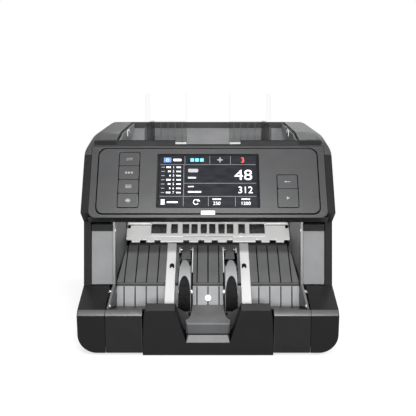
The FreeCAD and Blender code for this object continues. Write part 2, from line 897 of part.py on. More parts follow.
top_outer = prism("top_outer", "YZ_Plane", shoulder_line(0, top_split), -half, half)
rounded(top_outer, lambda edge: crest_edge(edge, 0), crest_round)
rounded(top_outer, lambda edge: straight_along(edge, 2) and at(edge.CenterOfMass.y, back), shoulder_round)
rounded(top_outer, lambda edge: shoulder_edges(edge, half), shoulder_round)
opening = block("opening", (-hopper_half, hopper_half), (front, behind(hopper_back)), (0, body_height * 2))
top_inner = prism("top_inner", "YZ_Plane", shoulder_line(cover_wall, top_split - past),
                  -half + cover_wall, half - cover_wall)
rounded(top_inner, lambda edge: crest_edge(edge, cover_wall), crest_round)
rounded(top_inner, lambda edge: straight_along(edge, 2) and at(edge.CenterOfMass.y, back - cover_wall),
        shoulder_round - cover_wall)
rounded(top_inner, lambda edge: shoulder_edges(edge, half - cover_wall), shoulder_round - cover_wall)
opening_wall = block("opening_wall", (-hopper_half - cover_wall, hopper_half + cover_wall),
                     (front, behind(hopper_back) + cover_wall), (0, body_height * 2))
hollow = without("top_hollow", top_inner, opening_wall)
head_space = block("head_space", (-head_half - seam, head_half + seam), (front, lip_along + seam),
                   (0, panel_top_height + seam))
top_tools = group("top_tools", [opening, hollow, head_space])
node(without("top_cover", top_outer, top_tools))

# Hopper tray: sloping floor between two side walls
floor_rise = (hopper_high_height - hopper_low_height) / (hopper_back - hopper_low_setback)


def hopper_floor(along):
    """Height of the hopper floor at a place behind the front."""
    return hopper_low_height + (as_size(along) - hopper_low_setback) * floor_rise


tray_half = hopper_half - running_gap
tray_back = hopper_back - seam
tray_front = lip_setback + seam
tray = prism("hopper_floor", "YZ_Plane", [
    (behind(hopper_low_setback), hopper_floor(hopper_low_setback) - inner_wall),
    (behind(tray_back), hopper_floor(tray_back) - inner_wall),
    (behind(tray_back), hopper_floor(tray_back)),
    (behind(hopper_low_setback), hopper_floor(hopper_low_setback)),
], -tray_half, tray_half)
wall_line = [
    (behind(tray_front), hopper_floor(hopper_low_setback) - inner_wall),
    (behind(hopper_low_setback), hopper_floor(hopper_low_setback) - inner_wall),
    (behind(tray_back), hopper_floor(tray_back) - inner_wall),
    (behind(tray_back), body_height - crest_drop),
    (lip_front + crest_run, body_height - 2 * crest_drop),
    (behind(tray_front), shoulder_height - crest_drop / 2),
]
add_prism(tray, "YZ_Plane", wall_line, -tray_half, -tray_half + inner_wall)
add_prism(tray, "YZ_Plane", wall_line, tray_half - inner_wall, tray_half)
slots = []
slot_reach = feed_radius * 0.95
for place in (-feed_outer, -feed_inner, feed_inner, feed_outer):
    feed_slot_half = feed_width / 2 + 2 * running_gap
    slots.append(block("slot", (place - feed_slot_half, place + feed_slot_half),
                       (behind(feed_setback) - slot_reach, behind(feed_setback) + slot_reach * 0.7),
                       (hopper_low_height - 2 * guide_lift, hopper_high_height)))
guide_wall_out = guide_half_gap + inner_wall
tab_low = guide_half_gap - guide_tab
slot_near = tab_low - guide_travel_in - 2 * running_gap
slot_far = guide_half_gap + guide_travel_out + 2 * running_gap
slot_along = (behind(guide_back) - inner_wall - 2 * running_gap, behind(guide_back) + 2 * running_gap)
for low, high in ((slot_near, slot_far), (-slot_far, -slot_near)):
    slots.append(block("slot", (low, high), slot_along, (hopper_low_height, hopper_high_height + inner_wall)))
node(without("hopper_tray", tray, group("hopper_slots", slots)))

# Clear sliding note guides
rib_face = behind(guide_back) - inner_wall
plan = [
    (-guide_wall_out, behind(guide_front)),
    (-guide_half_gap, behind(guide_front)),
    (-guide_half_gap, rib_face),
]
for step in range(1, 5):
    rib = -guide_half_gap + guide_rib_pitch * step + guide_rib_pitch / 3
    plan += [
        (rib - guide_rib_width / 2, rib_face),
        (rib - guide_rib_width / 2, rib_face - guide_rib_height),
        (rib + guide_rib_width / 2, rib_face - guide_rib_height),
        (rib + guide_rib_width / 2, rib_face),
    ]
plan += [
    (-guide_half_gap + guide_reach, rib_face),
    (-guide_half_gap + guide_reach, behind(guide_back)),
    (-guide_wall_out, behind(guide_back)),
]
guide = prism("hopper_guide_left", "XY_Plane", plan, hopper_low_height - 2 * guide_lift, guide_height)
guide_from = -guide_wall_out - past
guide_to = -guide_half_gap + guide_reach + past
cut_prism(guide, "YZ_Plane", [
    (behind(guide_front) - past, hopper_floor(guide_front) + guide_lift),
    (behind(guide_front) - past, hopper_low_height - 4 * guide_lift),
    (behind(guide_back) + past, hopper_low_height - 4 * guide_lift),
    (behind(guide_back) + past, hopper_floor(guide_back) + guide_lift),
], guide_from, guide_to)
guide_lean_back = (guide_height - hopper_floor(guide_front)) * tangent(guide_lean)
cut_prism(guide, "YZ_Plane", [
    (behind(guide_front) - past, hopper_floor(guide_front) + guide_lift * 2),
    (behind(guide_front) + guide_lean_back, guide_height + past),
    (behind(guide_front) - past, guide_height + past),
], guide_from, guide_to)
add_prism(guide, "XZ_Plane", rectangle(-guide_half_gap, -tab_low, hopper_floor(guide_back) - 3 * inner_wall,
                                       hopper_floor(guide_back) + 2 * guide_lift),
          behind(guide_back) - inner_wall, behind(guide_back))
pair(guide, "hopper_guide")

# Pocket side walls, flared towards the mouth
wall_plan = prism("wall_plan", "XY_Plane", [
    (-pocket_mouth, behind(pocket_mouth_setback)),
    (-pocket_half, behind(column_setback)),
    (-pocket_half, behind(pocket_bend_setback)),
    (-pocket_throat, behind(pocket_throat_setback)),
    (-pocket_throat - inner_wall, behind(pocket_throat_setback)),
    (-pocket_half - inner_wall, behind(pocket_bend_setback)),
    (-pocket_half - inner_wall, behind(column_setback)),
    (-pocket_mouth - inner_wall, behind(pocket_mouth_setback)),
], foot_height, body_height)
under_fall = (under_front_height - under_back_height) / (under_back - chin_front - chin_cut)
under_at_column = under_front_height - (side_front + column_rise - chin_front - chin_cut) * under_fall
back_wall_rise = tangent(column_lean)
chute_tip_setback = exit_setback - exit_radius - chute_tip_gap
chute_tip_height = exit_height + chute_tip_rise
chute_run = chute_tip_setback - chute_setback
chute_slope = arctangent((chute_tip_height - chute_height) / chute_run)
chute_length = chute_run / cosine(chute_slope)
chute_along = behind(chute_setback)
chute_tip_along = behind(chute_tip_setback)
wall_side = prism("wall_side", "YZ_Plane", [
    (behind(pocket_mouth_setback), pocket_floor(pocket_mouth_setback) + seam),
    (behind(floor_back), floor_back_height + seam),
    (behind(floor_back) + (chute_height - floor_back_height) * back_wall_rise, chute_height + seam),
    (chute_along, chute_height + seam),
    (chute_tip_along, chute_tip_height + seam),
    (under_back, chute_tip_height + seam),
    (under_back, under_back_height - seam),
    (side_front + column_rise, under_at_column - seam),
    (side_front, column_foot + cover_wall / 2),
], -half, half)
pair(shared("stacker_wall_left", wall_plan, wall_side), "stacker_wall")

# Sloping chute with slots for the wheels and flutes that run up it
wheel_slot_half = wheel_width / 2 + wheel_slot_gap
slot_low = wheel_spread - wheel_slot_half
slot_high = wheel_spread + wheel_slot_half
throat_taper = pocket_taper / (pocket_throat_setback - pocket_bend_setback)


def pocket_side(setback):
    """Half width of the pocket at a place behind its bend."""
    return pocket_half - (setback - pocket_bend_setback) * throat_taper


chute_half = pocket_half - seam
slot_length = chute_length - flute_margin / 2
chute_tip_half = pocket_side(chute_tip_setback) - seam
outer_flute = chute_half - flute_margin
flute_places = [outer_flute - flute_pitch * index for index in range(5)] + [flute_pitch]
flute_spans = []
for place in flute_places:
    for side_of in (-1, 1):
        middle = place * side_of
        flute_spans.append((middle - flute_width / 2, middle + flute_width / 2))
flute_spans.append((-flute_width / 2, flute_width / 2))

chute_plate = prism("chute_plate", "XY_Plane", [
    (-chute_half, 0),
    (-slot_high, 0),
    (-slot_high, slot_length),
    (-slot_low, slot_length),
    (-slot_low, 0),
    (slot_low, 0),
    (slot_low, slot_length),
    (slot_high, slot_length),
    (slot_high, 0),
    (chute_half, 0),
    (chute_tip_half, chute_length),
    (-chute_tip_half, chute_length),
], -inner_wall, 0)
flutes = [block("flute", span, (-past, chute_length + past), (-flute_depth, past)) for span in flute_spans]
chute = without("stacker_chute", chute_plate, group("chute_flutes", flutes))
node(tilt(chute, chute_along, chute_height, -chute_slope))

# Fluted wall below the chute, in three panels between the wheels
wall_face = behind(floor_back) + seam
wall_low = floor_back_height + seam - inner_wall
wall_high = chute_height - inner_wall * 1.4
wall_back = (chute_height - floor_back_height) * back_wall_rise


def wall_layer(label, start, end, across):
    """A layer of the leaning wall between two depths."""
    return prism(label, "YZ_Plane", [
        (wall_face + start, wall_low),
        (wall_face + end, wall_low),
        (wall_face + end + wall_back, wall_high),
        (wall_face + start + wall_back, wall_high),
    ], across[0], across[1])


wall_cuts = [wall_layer("wheel_gap", -past, inner_wall + past, span)
             for span in ((-slot_high, -slot_low), (slot_low, slot_high))]
wall_cuts += [wall_layer("flute", -past, flute_depth, span) for span in flute_spans]
whole_wall = wall_layer("whole_wall", 0, inner_wall, (-chute_half, chute_half))
node(without("stacker_back_wall", whole_wall, group("wall_cuts", wall_cuts)))

# Slide strips from the outlet down to the lobes
strip_foot = pocket_floor(strip_low_setback) + seam
strip_bend = chute_height + strip_over
strip_high = chute_tip_height + seam
strip_line = [
    (behind(strip_low_setback), strip_foot + strip_wall / 2),
    (chute_along, strip_bend + strip_wall * 1.2),
    (chute_tip_along, strip_high + strip_wall * 1.2),
    (chute_tip_along, strip_high),
    (chute_along, strip_bend),
    (behind(strip_low_setback) + strip_wall, strip_foot),
]
strip = prism("strip", "YZ_Plane", strip_line, -strip_inner - strip_width, -strip_inner)
node(group("guide_strips", [strip, mirrored("strip_right", strip)]))

# Outlet comb with windows for the rollers and teeth along its lower edge
comb_half = pocket_throat - seam
teeth = ((0.83, 0.93), (0.655, 0.753), (0.303, 0.58), (0.12, 0.23))
middle_tooth = 0.046
lower_edge = [(-comb_half, 0)]
for low, high in teeth:
    lower_edge += [(-comb_half * high, 0), (-comb_half * high, -tooth_length),
                   (-comb_half * low, -tooth_length), (-comb_half * low, 0)]
lower_edge += [(-comb_half * middle_tooth, 0), (-comb_half * middle_tooth, -tooth_length)]
other_edge = [(-as_size(across), up) for across, up in reversed(lower_edge)]
comb = prism("comb_plate", "XZ_Plane", lower_edge + other_edge
             + [(comb_half, comb_length), (-comb_half, comb_length)], 0, inner_wall)
rollers = ((0.512, 0.70), (0.374, 0.457), (0.232, 0.315), (0.129, 0.206), (0.0155, 0.091))
windows = []
for low, high in rollers:
    for inner, outer in ((low, high), (-high, -low)):
        windows.append(block("window", (comb_half * inner, comb_half * outer), (-past, inner_wall + past),
                             (window_centre - window_tall / 2, window_centre + window_tall / 2)))
comb = without("outlet_comb", comb, group("comb_windows", windows))
node(tilt(comb, behind(comb_setback), comb_height, comb_lean))

# Outlet rollers behind the comb
outlet_along = behind(outlet_setback)
shaft_half = frame_inner + frame_wall
node(rod("outlet_shaft", outlet_along, outlet_height, -shaft_half, shaft_half, shaft_radius))
roller_gap = 2 * running_gap


def ring(along, up, start, end, radius):
    """A roller with a bore that fits the shaft."""
    rim = rod("rim", along, up, start, end, radius)
    bore = rod("bore", along, up, start, end, shaft_radius)
    return without("ring", rim, bore)


outlet_rings = []
for low, high in rollers:
    start = comb_half * low + roller_gap
    end = comb_half * high - roller_gap
    wheel = ring(outlet_along, outlet_height, start, end, roller_radius)
    outlet_rings += [wheel, mirrored("ring", wheel)]
node(group("outlet_rollers", outlet_rings))

# Lower exit rollers, feed rollers and their shafts
bush_flange = overlay_wall
pulley_start = shaft_half + bush_flange + running_gap
belt_start = pulley_start + running_gap
second_start = belt_start + belt_width + 3 * running_gap
pulley_end = second_start + belt_width + running_gap
exit_along = behind(exit_setback)
exit_shaft = fused("exit_shaft", [
    rod("spindle", exit_along, exit_height, -shaft_half, pulley_end, shaft_radius),
    rod("pulley", exit_along, exit_height, pulley_start, pulley_end, exit_pulley_radius),
])
node(exit_shaft)
exit_rings = []
for low, high in rollers[:3]:
    start = comb_half * low + roller_gap
    end = comb_half * high - roller_gap
    wheel = ring(exit_along, exit_height, start, end, exit_radius)
    exit_rings += [wheel, mirrored("ring", wheel)]
node(group("exit_rollers", exit_rings))

feed_along = behind(feed_setback)
first_end = belt_start + belt_width + running_gap
node(fused("feed_shaft", [
    rod("spindle", feed_along, feed_height, -shaft_half, first_end, shaft_radius),
    rod("pulley", feed_along, feed_height, pulley_start, first_end, feed_pulley_radius),
]))
feed_rings = []
for place in (feed_inner, feed_outer):
    wheel = ring(feed_along, feed_height, place - feed_width / 2, place + feed_width / 2, feed_radius)
    feed_rings += [wheel, mirrored("ring", wheel)]
node(group("feed_rollers", feed_rings))

# Stacker wheels: hubs with spiral arms, and a curved rubber vane over each arm
wheel_along = behind(wheel_setback)
node(fused("stacker_shaft", [
    rod("spindle", wheel_along, wheel_height, -shaft_half, pulley_end, shaft_radius),
    rod("pulley", wheel_along, wheel_height, second_start - running_gap, pulley_end, stacker_pulley_radius),
]))
hub_start = wheel_spread - wheel_width / 2
hub_end = wheel_spread + wheel_width / 2
tip_steps = 12


def spiral(label, turn, tip_radius, fall, start, end, inset):
    """A drum set off towards one direction, so that its rim falls away from there."""
    shift = fall / 2
    return rod(label, wheel_along + shift * cosine(turn), wheel_height + shift * sine(turn), start, end,
               tip_radius - shift - inset)


def wedge(turn, sweep, start, end):
    """The part of the wheel between two directions seen from its axis."""
    sector = rod("wedge", wheel_along, wheel_height, start, end, wheel_radius * 1.1)
    bind(sector, "Angle", sweep)
    swing = FreeCAD.Rotation(Vector(1, 0, 0), turn.number + right_angle)
    sector.Placement.Rotation = swing.multiply(FreeCAD.Rotation(Vector(0, 1, 0), 90))
    return sector


def petal(turn, swing, tip_radius, taper, start, end):
    """A long plate with a half-round tip, laid over the wheel a little behind the tip's direction."""
    middle = (start + end) / 2
    half_width = (end - start) / 2
    tip = tip_radius * sine(swing)
    points = [(end, -2 * wheel_radius)]
    for step in range(tip_steps + 1):
        angle = as_size(half_turn / tip_steps * step)
        points.append((middle + half_width * cosine(angle), tip - taper + taper * sine(angle)))
    points.append((start, -2 * wheel_radius))
    plate = prism("petal", "XY_Plane", points, 0, 2 * wheel_radius)
    return tilt(plate, wheel_along, wheel_height, right_angle - turn - swing)


vane_start = hub_start + running_gap
vane_end = hub_end - running_gap
hub_members = [ring(wheel_along, wheel_height, hub_start, hub_end, hub_core)]
vanes = []
for index in range(vane_count.number):
    place = full_turn / vane_count * index
    arm_turn = half_turn - arm_tip_angle + place
    drum = spiral("drum", arm_turn, hub_radius, hub_fall, hub_start, hub_end, 0)
    arm = shared("arm", drum, wedge(arm_turn, full_turn / vane_count, hub_start, hub_end))
    arm = shared("arm", arm, petal(arm_turn, arm_swing, hub_radius, arm_taper, hub_start, hub_end))
    bore = rod("bore", wheel_along, wheel_height, hub_start, hub_end, shaft_radius)
    hub_members.append(without("arm", arm, bore))
    vane_turn = half_turn - vane_tip_angle + place
    curve = without("curve", spiral("outside", vane_turn, wheel_radius, vane_fall, vane_start, vane_end, 0),
                    spiral("inside", vane_turn, wheel_radius, vane_fall, vane_start, vane_end, vane_wall))
    blade = shared("blade", curve, wedge(vane_turn, vane_sweep, vane_start, vane_end))
    cover = petal(vane_turn, vane_swing, wheel_radius, vane_taper, vane_start, vane_end)
    seat = spiral("seat", arm_turn, hub_radius, hub_fall, vane_start, vane_end, 0)
    vane = without("vane", shared("blade", blade, cover), seat)
    vanes += [vane, mirrored("vane", vane)]
hub = fused("hub", hub_members)
node(group("stacker_hubs", [hub, mirrored("hub_left", hub)]))
node(group("stacker_vanes", vanes))

# Steel side frames with bushes for every shaft
frame_low = plate_top
frame_line = [
    (side_front + cover_wall, frame_low),
    (behind(hopper_back), frame_low),
    (behind(hopper_back), top_split - 4 * cover_wall),
    (under_back + cover_wall, top_split - 4 * cover_wall),
    (under_back + cover_wall, under_back_height - 2 * cover_wall),
    (side_front + column_rise + 2 * cover_wall, under_back_height - 2 * cover_wall),
    (side_front + column_rise + 2 * cover_wall, column_foot - cover_wall),
    (side_front + cover_wall, column_foot - cover_wall),
]
shaft_places = ((wheel_along, wheel_height), (outlet_along, outlet_height),
                (exit_along, exit_height), (feed_along, feed_height))
motor_along = behind(motor_setback)
plate = prism("frame_plate", "YZ_Plane", frame_line, -shaft_half, -frame_inner)
bores = [rod("bore", along, up, -half, 0, bush_radius) for along, up in shaft_places]
bores.append(rod("bore", motor_along, motor_height, -half, 0, bush_radius))
pair(without("side_frame_left", plate, group("frame_bores", bores)), "side_frame")

bushes = []
for along, up in shaft_places:
    sleeve = fused("sleeve", [
        rod("barrel", along, up, frame_inner, shaft_half, bush_radius),
        rod("flange", along, up, shaft_half, shaft_half + bush_flange, bush_radius + bush_flange),
    ])
    bore = rod("bore", along, up, frame_inner - past, half, shaft_radius + running_gap / 6)
    bush = without("bush", sleeve, bore)
    bushes += [bush, mirrored("bush", bush)]
node(group("shaft_bushes", bushes))

rear_rod_along = behind(hopper_back - 4 * rod_radius)
rod_places = (
    (rear_rod_along, door_low),
    (rear_rod_along, feed_height),
    (feed_along + 2 * rod_radius, motor_height + 2 * motor_radius),
)
node(group("tie_rods", [rod("tie_rod", along, up, -frame_inner, frame_inner, rod_radius)
                        for along, up in rod_places]))

# Motor, its pulley and the two toothed belts
node(rod("main_motor", motor_along, motor_height, frame_inner - motor_length, frame_inner, motor_radius))
node(fused("motor_pulley", [
    rod("spindle", motor_along, motor_height, frame_inner + running_gap, first_end, shaft_radius * 0.75),
    rod("pulley", motor_along, motor_height, pulley_start, first_end, motor_pulley_radius),
]))


def belt_face(circles, grow):
    """Flat face inside a taut loop round circles that are listed anticlockwise."""
    count = len(circles)
    runs = []
    for index, (along, up, radius) in enumerate(circles):
        next_along, next_up, next_radius = circles[(index + 1) % count]
        span_along = next_along - along
        span_up = next_up - up
        span = math.hypot(span_along, span_up)
        side_angle = math.atan2(span_up, span_along) - math.acos((radius - next_radius) / span)
        side_line = Vector(0, math.cos(side_angle), math.sin(side_angle))
        runs.append((Vector(0, along, up) + side_line * (radius + grow),
                     Vector(0, next_along, next_up) + side_line * (next_radius + grow), side_angle))
    edges = []
    for index, (along, up, radius) in enumerate(circles):
        arrive = runs[index - 1]
        leave = runs[index]
        turn = (leave[2] - arrive[2]) % (2 * math.pi)
        middle = arrive[2] + turn / 2
        crown = Vector(0, along, up) + Vector(0, math.cos(middle), math.sin(middle)) * (radius + grow)
        edges.append(Part.Arc(arrive[1], crown, leave[0]).toShape())
        edges.append(Part.LineSegment(leave[0], leave[1]).toShape())
    return Part.Face(Part.Wire(edges))


def belt(label, pulleys, start):
    """A belt loop lying just outside its pulleys."""
    circles = [tuple(as_size(part).number for part in pulley) for pulley in pulleys]
    slack = running_gap.number / 2
    loop = belt_face(circles, slack + belt_wall.number).cut(belt_face(circles, slack))
    item = doc.addObject("Part::Feature", "Belt")
    item.Label = label
    item.Shape = loop.extrude(Vector(belt_width.number, 0, 0)).Solids[0]
    bind(item, "Placement.Base.x", start)
    return item


motor_circle = (motor_along, motor_height, motor_pulley_radius)
feed_circle = (feed_along, feed_height, feed_pulley_radius)
exit_circle = (exit_along, exit_height, exit_pulley_radius)
stacker_circle = (wheel_along, wheel_height, stacker_pulley_radius)
node(group("drive_belts", [
    belt("main_belt", [motor_circle, feed_circle, exit_circle], belt_start),
    belt("stacker_belt", [stacker_circle, exit_circle], second_start),
]))

# Note sensors: two image bars beside the note path, two hopper eyes and one pocket eye
path_along = behind(hopper_low_setback) + inner_wall
bar_half = frame_inner - seam
bar_deep = 6 * inner_wall
bar_low = under_back_height + 2 * cover_wall
node(group("image_sensors", [
    block("front_bar", (-bar_half, bar_half), (path_along - bar_deep, path_along - inner_wall / 2),
          (bar_low, bar_low + bar_deep)),
    block("rear_bar", (-bar_half, bar_half), (path_along + inner_wall / 2, path_along + bar_deep),
          (bar_low - 2 * inner_wall, bar_low + 2 * inner_wall)),
]))
eye_along = behind(guide_front + inner_wall)
eye_height = hopper_floor(guide_front) + bar_deep * 1.8
eye_inner = tray_half - inner_wall
hopper_eye = rod("hopper_eye", eye_along, eye_height, -eye_inner, -eye_inner + inner_wall, sensor_radius)
pocket_eye = post("pocket_eye", 0, -past, running_gap, 0, sensor_radius)
pocket_eye_height = (floor_back_height + chute_height) / 2 - sensor_radius
tilt(pocket_eye, behind(floor_back) + (pocket_eye_height - floor_back_height) * back_wall_rise,
     pocket_eye_height, column_lean - right_angle)
node(group("note_sensors", [hopper_eye, mirrored("hopper_eye_right", hopper_eye), pocket_eye]))

# Electronics
board_x = -shaft_half - overlay_wall
board_line = rectangle(behind(exit_setback), behind(hopper_back - 2 * rod_radius), door_low, feed_height)
main_board = prism("main_board", "YZ_Plane", board_line, board_x - overlay_wall, board_x)
add_prism(main_board, "YZ_Plane", rectangle(motor_along - motor_radius, motor_along + motor_radius / 2,
                                            door_low + motor_radius, door_low + 2 * motor_radius),
          board_x - 4 * overlay_wall, board_x - overlay_wall)
add_prism(main_board, "YZ_Plane", rectangle(motor_along - motor_radius, motor_along + motor_radius,
                                            door_low + 3 * motor_radius, door_low + 3.5 * motor_radius),
          board_x - 6 * overlay_wall, board_x - overlay_wall)
for along in (motor_along - 2 * motor_radius, motor_along + motor_radius):
    add_prism(main_board, "YZ_Plane", rectangle(along, along + rod_radius, door_low + rod_radius,
                                                door_low + 2 * rod_radius), board_x, -shaft_half)
node(main_board)
supply_end = pan_rear - cover_wall - inlet_depth - motor_radius
supply_start = supply_end - 3 * motor_radius
node(block("power_supply", (-frame_inner + 3 * cover_wall, -motor_radius), (supply_start, supply_end),
           (plate_top, plate_top + 2 * motor_radius)))

# Rear frame, power inlet with switch, and the screws
frame_face = back - rear_wall
inlet_left = -inlet_offset - inlet_width / 2
inlet_right = -inlet_offset + inlet_width / 2
module_right = inlet_right + switch_width
inlet_low = inlet_height - inlet_tall / 2
inlet_high = inlet_height + inlet_tall / 2
door_high = top_split - 2 * cover_wall
behind_frame = frame_face - past
past_back = back + past
screw_radius = shaft_radius / 2
screw_head = screw_radius * 1.6
screw_height = plate_top + 2 * cover_wall
screw_places = [(base_half - 4 * cover_wall) * factor for factor in (-1, 1)] + [inlet_offset / 2]
rear_line = rectangle(-base_half, base_half, base_low, top_split - seam)
rear = prism("rear_plate", "XZ_Plane", rear_line, frame_face, back)
rear_cuts = [
    block("door_opening", (-door_half, door_half), (behind_frame, past_back), (door_low, door_high)),
    block("inlet_opening", (inlet_left - seam / 2, module_right + seam / 2), (behind_frame, past_back),
          (inlet_low - seam / 2, inlet_high + seam / 2)),
]
hinge_along = back - door_wall / 2
hinge_height = door_low + door_wall + running_gap
pin_reach = (base_half - door_half) * 0.7
pin_hole_end = door_half + pin_reach + running_gap
for start, end in ((-pin_hole_end, -door_half), (door_half, pin_hole_end)):
    rear_cuts.append(rod("pin_hole", hinge_along, hinge_height, start, end, hinge_radius + running_gap / 4))
screw_holes = []
screws = []
for across in screw_places:
    rear_cuts.append(post("screw_hole", across, behind_frame, past_back, screw_height, screw_radius))
    rear_cuts.append(post("head_hole", across, back - screw_radius, past_back, screw_height, screw_head))
    screw_holes.append(post("pan_hole", across, pan_rear - 2 * cover_wall, pan_rear + past,
                            screw_height, screw_radius))
    screws.append(fused("screw", [
        post("shank", across, pan_rear - cover_wall, back - screw_radius, screw_height, screw_radius),
        post("head", across, back - screw_radius, back - running_gap, screw_height, screw_head),
    ]))
node(without("rear_frame", rear, group("rear_cuts", rear_cuts)))
node(group("case_screws", screws))
node(without("base_pan", pan, group("pan_holes", screw_holes)))

socket_back = back - inlet_depth * 0.85
module = block("inlet_block", (inlet_left, module_right), (back - inlet_depth, back), (inlet_low, inlet_high))
socket_wall = inner_wall
rocker_half_tall = inlet_tall / 2 - socket_wall
rocker_along = back - inner_wall
rocker_pocket = back - inlet_depth * 0.6
rocker_axis = rocker_along - inlet_depth * 0.06 - running_gap
trunnion_radius = hinge_radius
trunnion_reach = socket_wall * 0.6
rocker_start = inlet_right + 2 * running_gap
rocker_end = module_right - socket_wall - 2 * running_gap
module_cuts = [
    block("socket", (inlet_left + socket_wall, inlet_right - socket_wall), (socket_back, past_back),
          (inlet_low + socket_wall, inlet_high - socket_wall)),
    block("rocker_space", (inlet_right, module_right - socket_wall), (rocker_pocket, past_back),
          (inlet_low + socket_wall, inlet_high - socket_wall)),
    rod("trunnion_bore", rocker_axis, inlet_height, inlet_right - trunnion_reach,
        module_right - socket_wall + trunnion_reach, trunnion_radius + running_gap / 4),
]
hollow_module = without("inlet_hollow", module, group("module_cuts", module_cuts))
pin_end = back - inlet_depth * 0.35
pin_wide = inlet_width / 14
pin_tall = inlet_tall / 5
pin_shift = pin_tall * 0.7
pin_places = (
    (-inlet_offset, inlet_height + pin_shift),
    (-inlet_offset - inlet_width / 4, inlet_height - pin_shift),
    (-inlet_offset + inlet_width / 4, inlet_height - pin_shift),
)
pins = [block("pin", (across - pin_wide / 2, across + pin_wide / 2), (socket_back, pin_end),
              (up - pin_tall / 2, up + pin_tall / 2)) for across, up in pin_places]
node(fused("power_inlet", [hollow_module] + pins))

rocker_tall = rocker_half_tall - 3 * running_gap
rocker_deep = inlet_depth * 0.3
rocker_crest = inlet_depth * 0.06
rocker_lift = rocker_tall * tangent(rocker_tilt)
rocker = prism("rocker_cap", "YZ_Plane", [
    (-rocker_deep, -rocker_tall / 2),
    (rocker_crest, -rocker_tall),
    (rocker_crest + rocker_lift, -rocker_tall * 0.98),
    (rocker_crest, 0),
    (rocker_crest + rocker_lift, rocker_tall * 0.98),
    (rocker_crest, rocker_tall),
    (-rocker_deep, rocker_tall / 2),
], rocker_start, rocker_end)
trunnion_out = trunnion_reach - running_gap
trunnion = rod("trunnion", 0, 0, inlet_right - trunnion_out,
               module_right - socket_wall + trunnion_out, trunnion_radius)
node(tilt(fused("power_rocker", [rocker, trunnion]), rocker_axis, inlet_height, rocker_tilt))

# Rear door hinged along its lower edge
leaf_half = door_half - seam
leaf = prism("door_leaf", "XZ_Plane", rectangle(-leaf_half, leaf_half, door_low + 2 * running_gap,
                                                 door_high - 2 * running_gap), back - door_wall, back)
add_prism(leaf, "XZ_Plane", rectangle(-door_half / 6, door_half / 6, door_high - 4 * door_wall,
                                      door_high - 2 * door_wall), back - door_wall * 2, back - door_wall)
pin_spans = ((-door_half - pin_reach, -leaf_half + past), (leaf_half - past, door_half + pin_reach))
pins = [rod("hinge_pin", hinge_along, hinge_height, start, end, hinge_radius) for start, end in pin_spans]
vent_count = 7
vents = []
for index in range(vent_count):
    vent_low = door_low + (door_high - door_low) * (index + 2) / (vent_count + 4)
    for start, end in ((-door_half * 0.8, -door_half * 0.2), (door_half * 0.2, door_half * 0.8)):
        vents.append(block("vent", (start, end), (back - 2 * door_wall, past_back),
                           (vent_low, vent_low + door_wall)))
node(without("rear_cover", fused("door", [leaf] + pins), group("vents", vents)))

# Write every piece
doc.recompute()
for item in doc.Objects:
    if "Invalid" in item.State or "Error" in item.State:
        raise RuntimeError(f"{item.Label} did not build")
os.makedirs("parts", exist_ok=True)
for label, item in nodes.items():
    if item.Shape.isNull() or not item.Shape.isValid() or not item.Shape.Solids:
        raise RuntimeError(f"{label} has no valid solid")
    item.Shape.exportStep(f"parts/{label}.step")
    box = item.Shape.BoundBox
    print(f"{label}: {len(item.Shape.Solids)} solids, {item.Shape.Volume:.0f} mm3,",
          f"x {box.XMin:.1f} {box.XMax:.1f}, y {box.YMin:.1f} {box.YMax:.1f},",
          f"z {box.ZMin:.1f} {box.ZMax:.1f}")
print(f"{len(nodes)} pieces")
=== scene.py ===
import json
import math

import bmesh
import bpy
from mathutils import Matrix, Vector


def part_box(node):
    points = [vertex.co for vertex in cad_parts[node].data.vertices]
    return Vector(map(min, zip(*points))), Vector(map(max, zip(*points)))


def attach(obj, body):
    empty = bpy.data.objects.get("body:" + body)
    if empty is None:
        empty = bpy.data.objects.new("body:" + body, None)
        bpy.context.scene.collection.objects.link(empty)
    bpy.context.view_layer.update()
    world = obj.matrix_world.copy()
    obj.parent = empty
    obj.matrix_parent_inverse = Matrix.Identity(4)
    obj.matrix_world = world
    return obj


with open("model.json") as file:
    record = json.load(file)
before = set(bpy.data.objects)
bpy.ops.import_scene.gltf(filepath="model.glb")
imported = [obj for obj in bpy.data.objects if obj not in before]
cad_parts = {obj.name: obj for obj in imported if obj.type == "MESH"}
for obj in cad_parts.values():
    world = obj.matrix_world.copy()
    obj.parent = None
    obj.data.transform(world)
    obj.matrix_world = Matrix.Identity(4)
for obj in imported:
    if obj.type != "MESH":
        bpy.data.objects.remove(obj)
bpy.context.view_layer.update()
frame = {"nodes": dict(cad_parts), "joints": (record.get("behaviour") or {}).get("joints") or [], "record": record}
nodes = frame["nodes"]
joints = {joint["name"]: joint for joint in frame["joints"]}

# Sizes and places are in millimetres; the camera's place, the lamps and the floor are in metres
MM = 0.001
SIDES = (("left", -1), ("right", 1))
KEYS = ("key_change", "key_mode", "key_menu", "key_print", "key_escape", "key_start")

# Camera found from the photograph: distance from the middle, eye height and pitch
EYE_DISTANCE = 0.744
EYE_HEIGHT = 0.283
EYE_PITCH = 12.0
LENS = 57.6
SENSOR = 36.0


# Material nodes

RAMP_START = 0.35
RAMP_END = 0.65


def material(name):
    """A new node material, its shader and its node tree."""
    item = bpy.data.materials.new(name)
    item.use_nodes = True
    return item, item.node_tree.nodes["Principled BSDF"], item.node_tree


def add_node(tree, kind, **inputs):
    """A new node with some of its inputs set."""
    item = tree.nodes.new(kind)
    for key, value in inputs.items():
        item.inputs[key].default_value = value
    return item


def calculate(tree, operation, *terms):
    """A math node whose terms are other nodes' values or plain numbers."""
    item = tree.nodes.new("ShaderNodeMath")
    item.operation = operation
    for socket, term in zip(item.inputs, terms):
        if isinstance(term, float):
            socket.default_value = term
        else:
            tree.links.new(term, socket)
    return item.outputs[0]


def own_space(tree):
    """Coordinates in the object's own space, in metres."""
    return tree.nodes.new("ShaderNodeTexCoord").outputs["Object"]


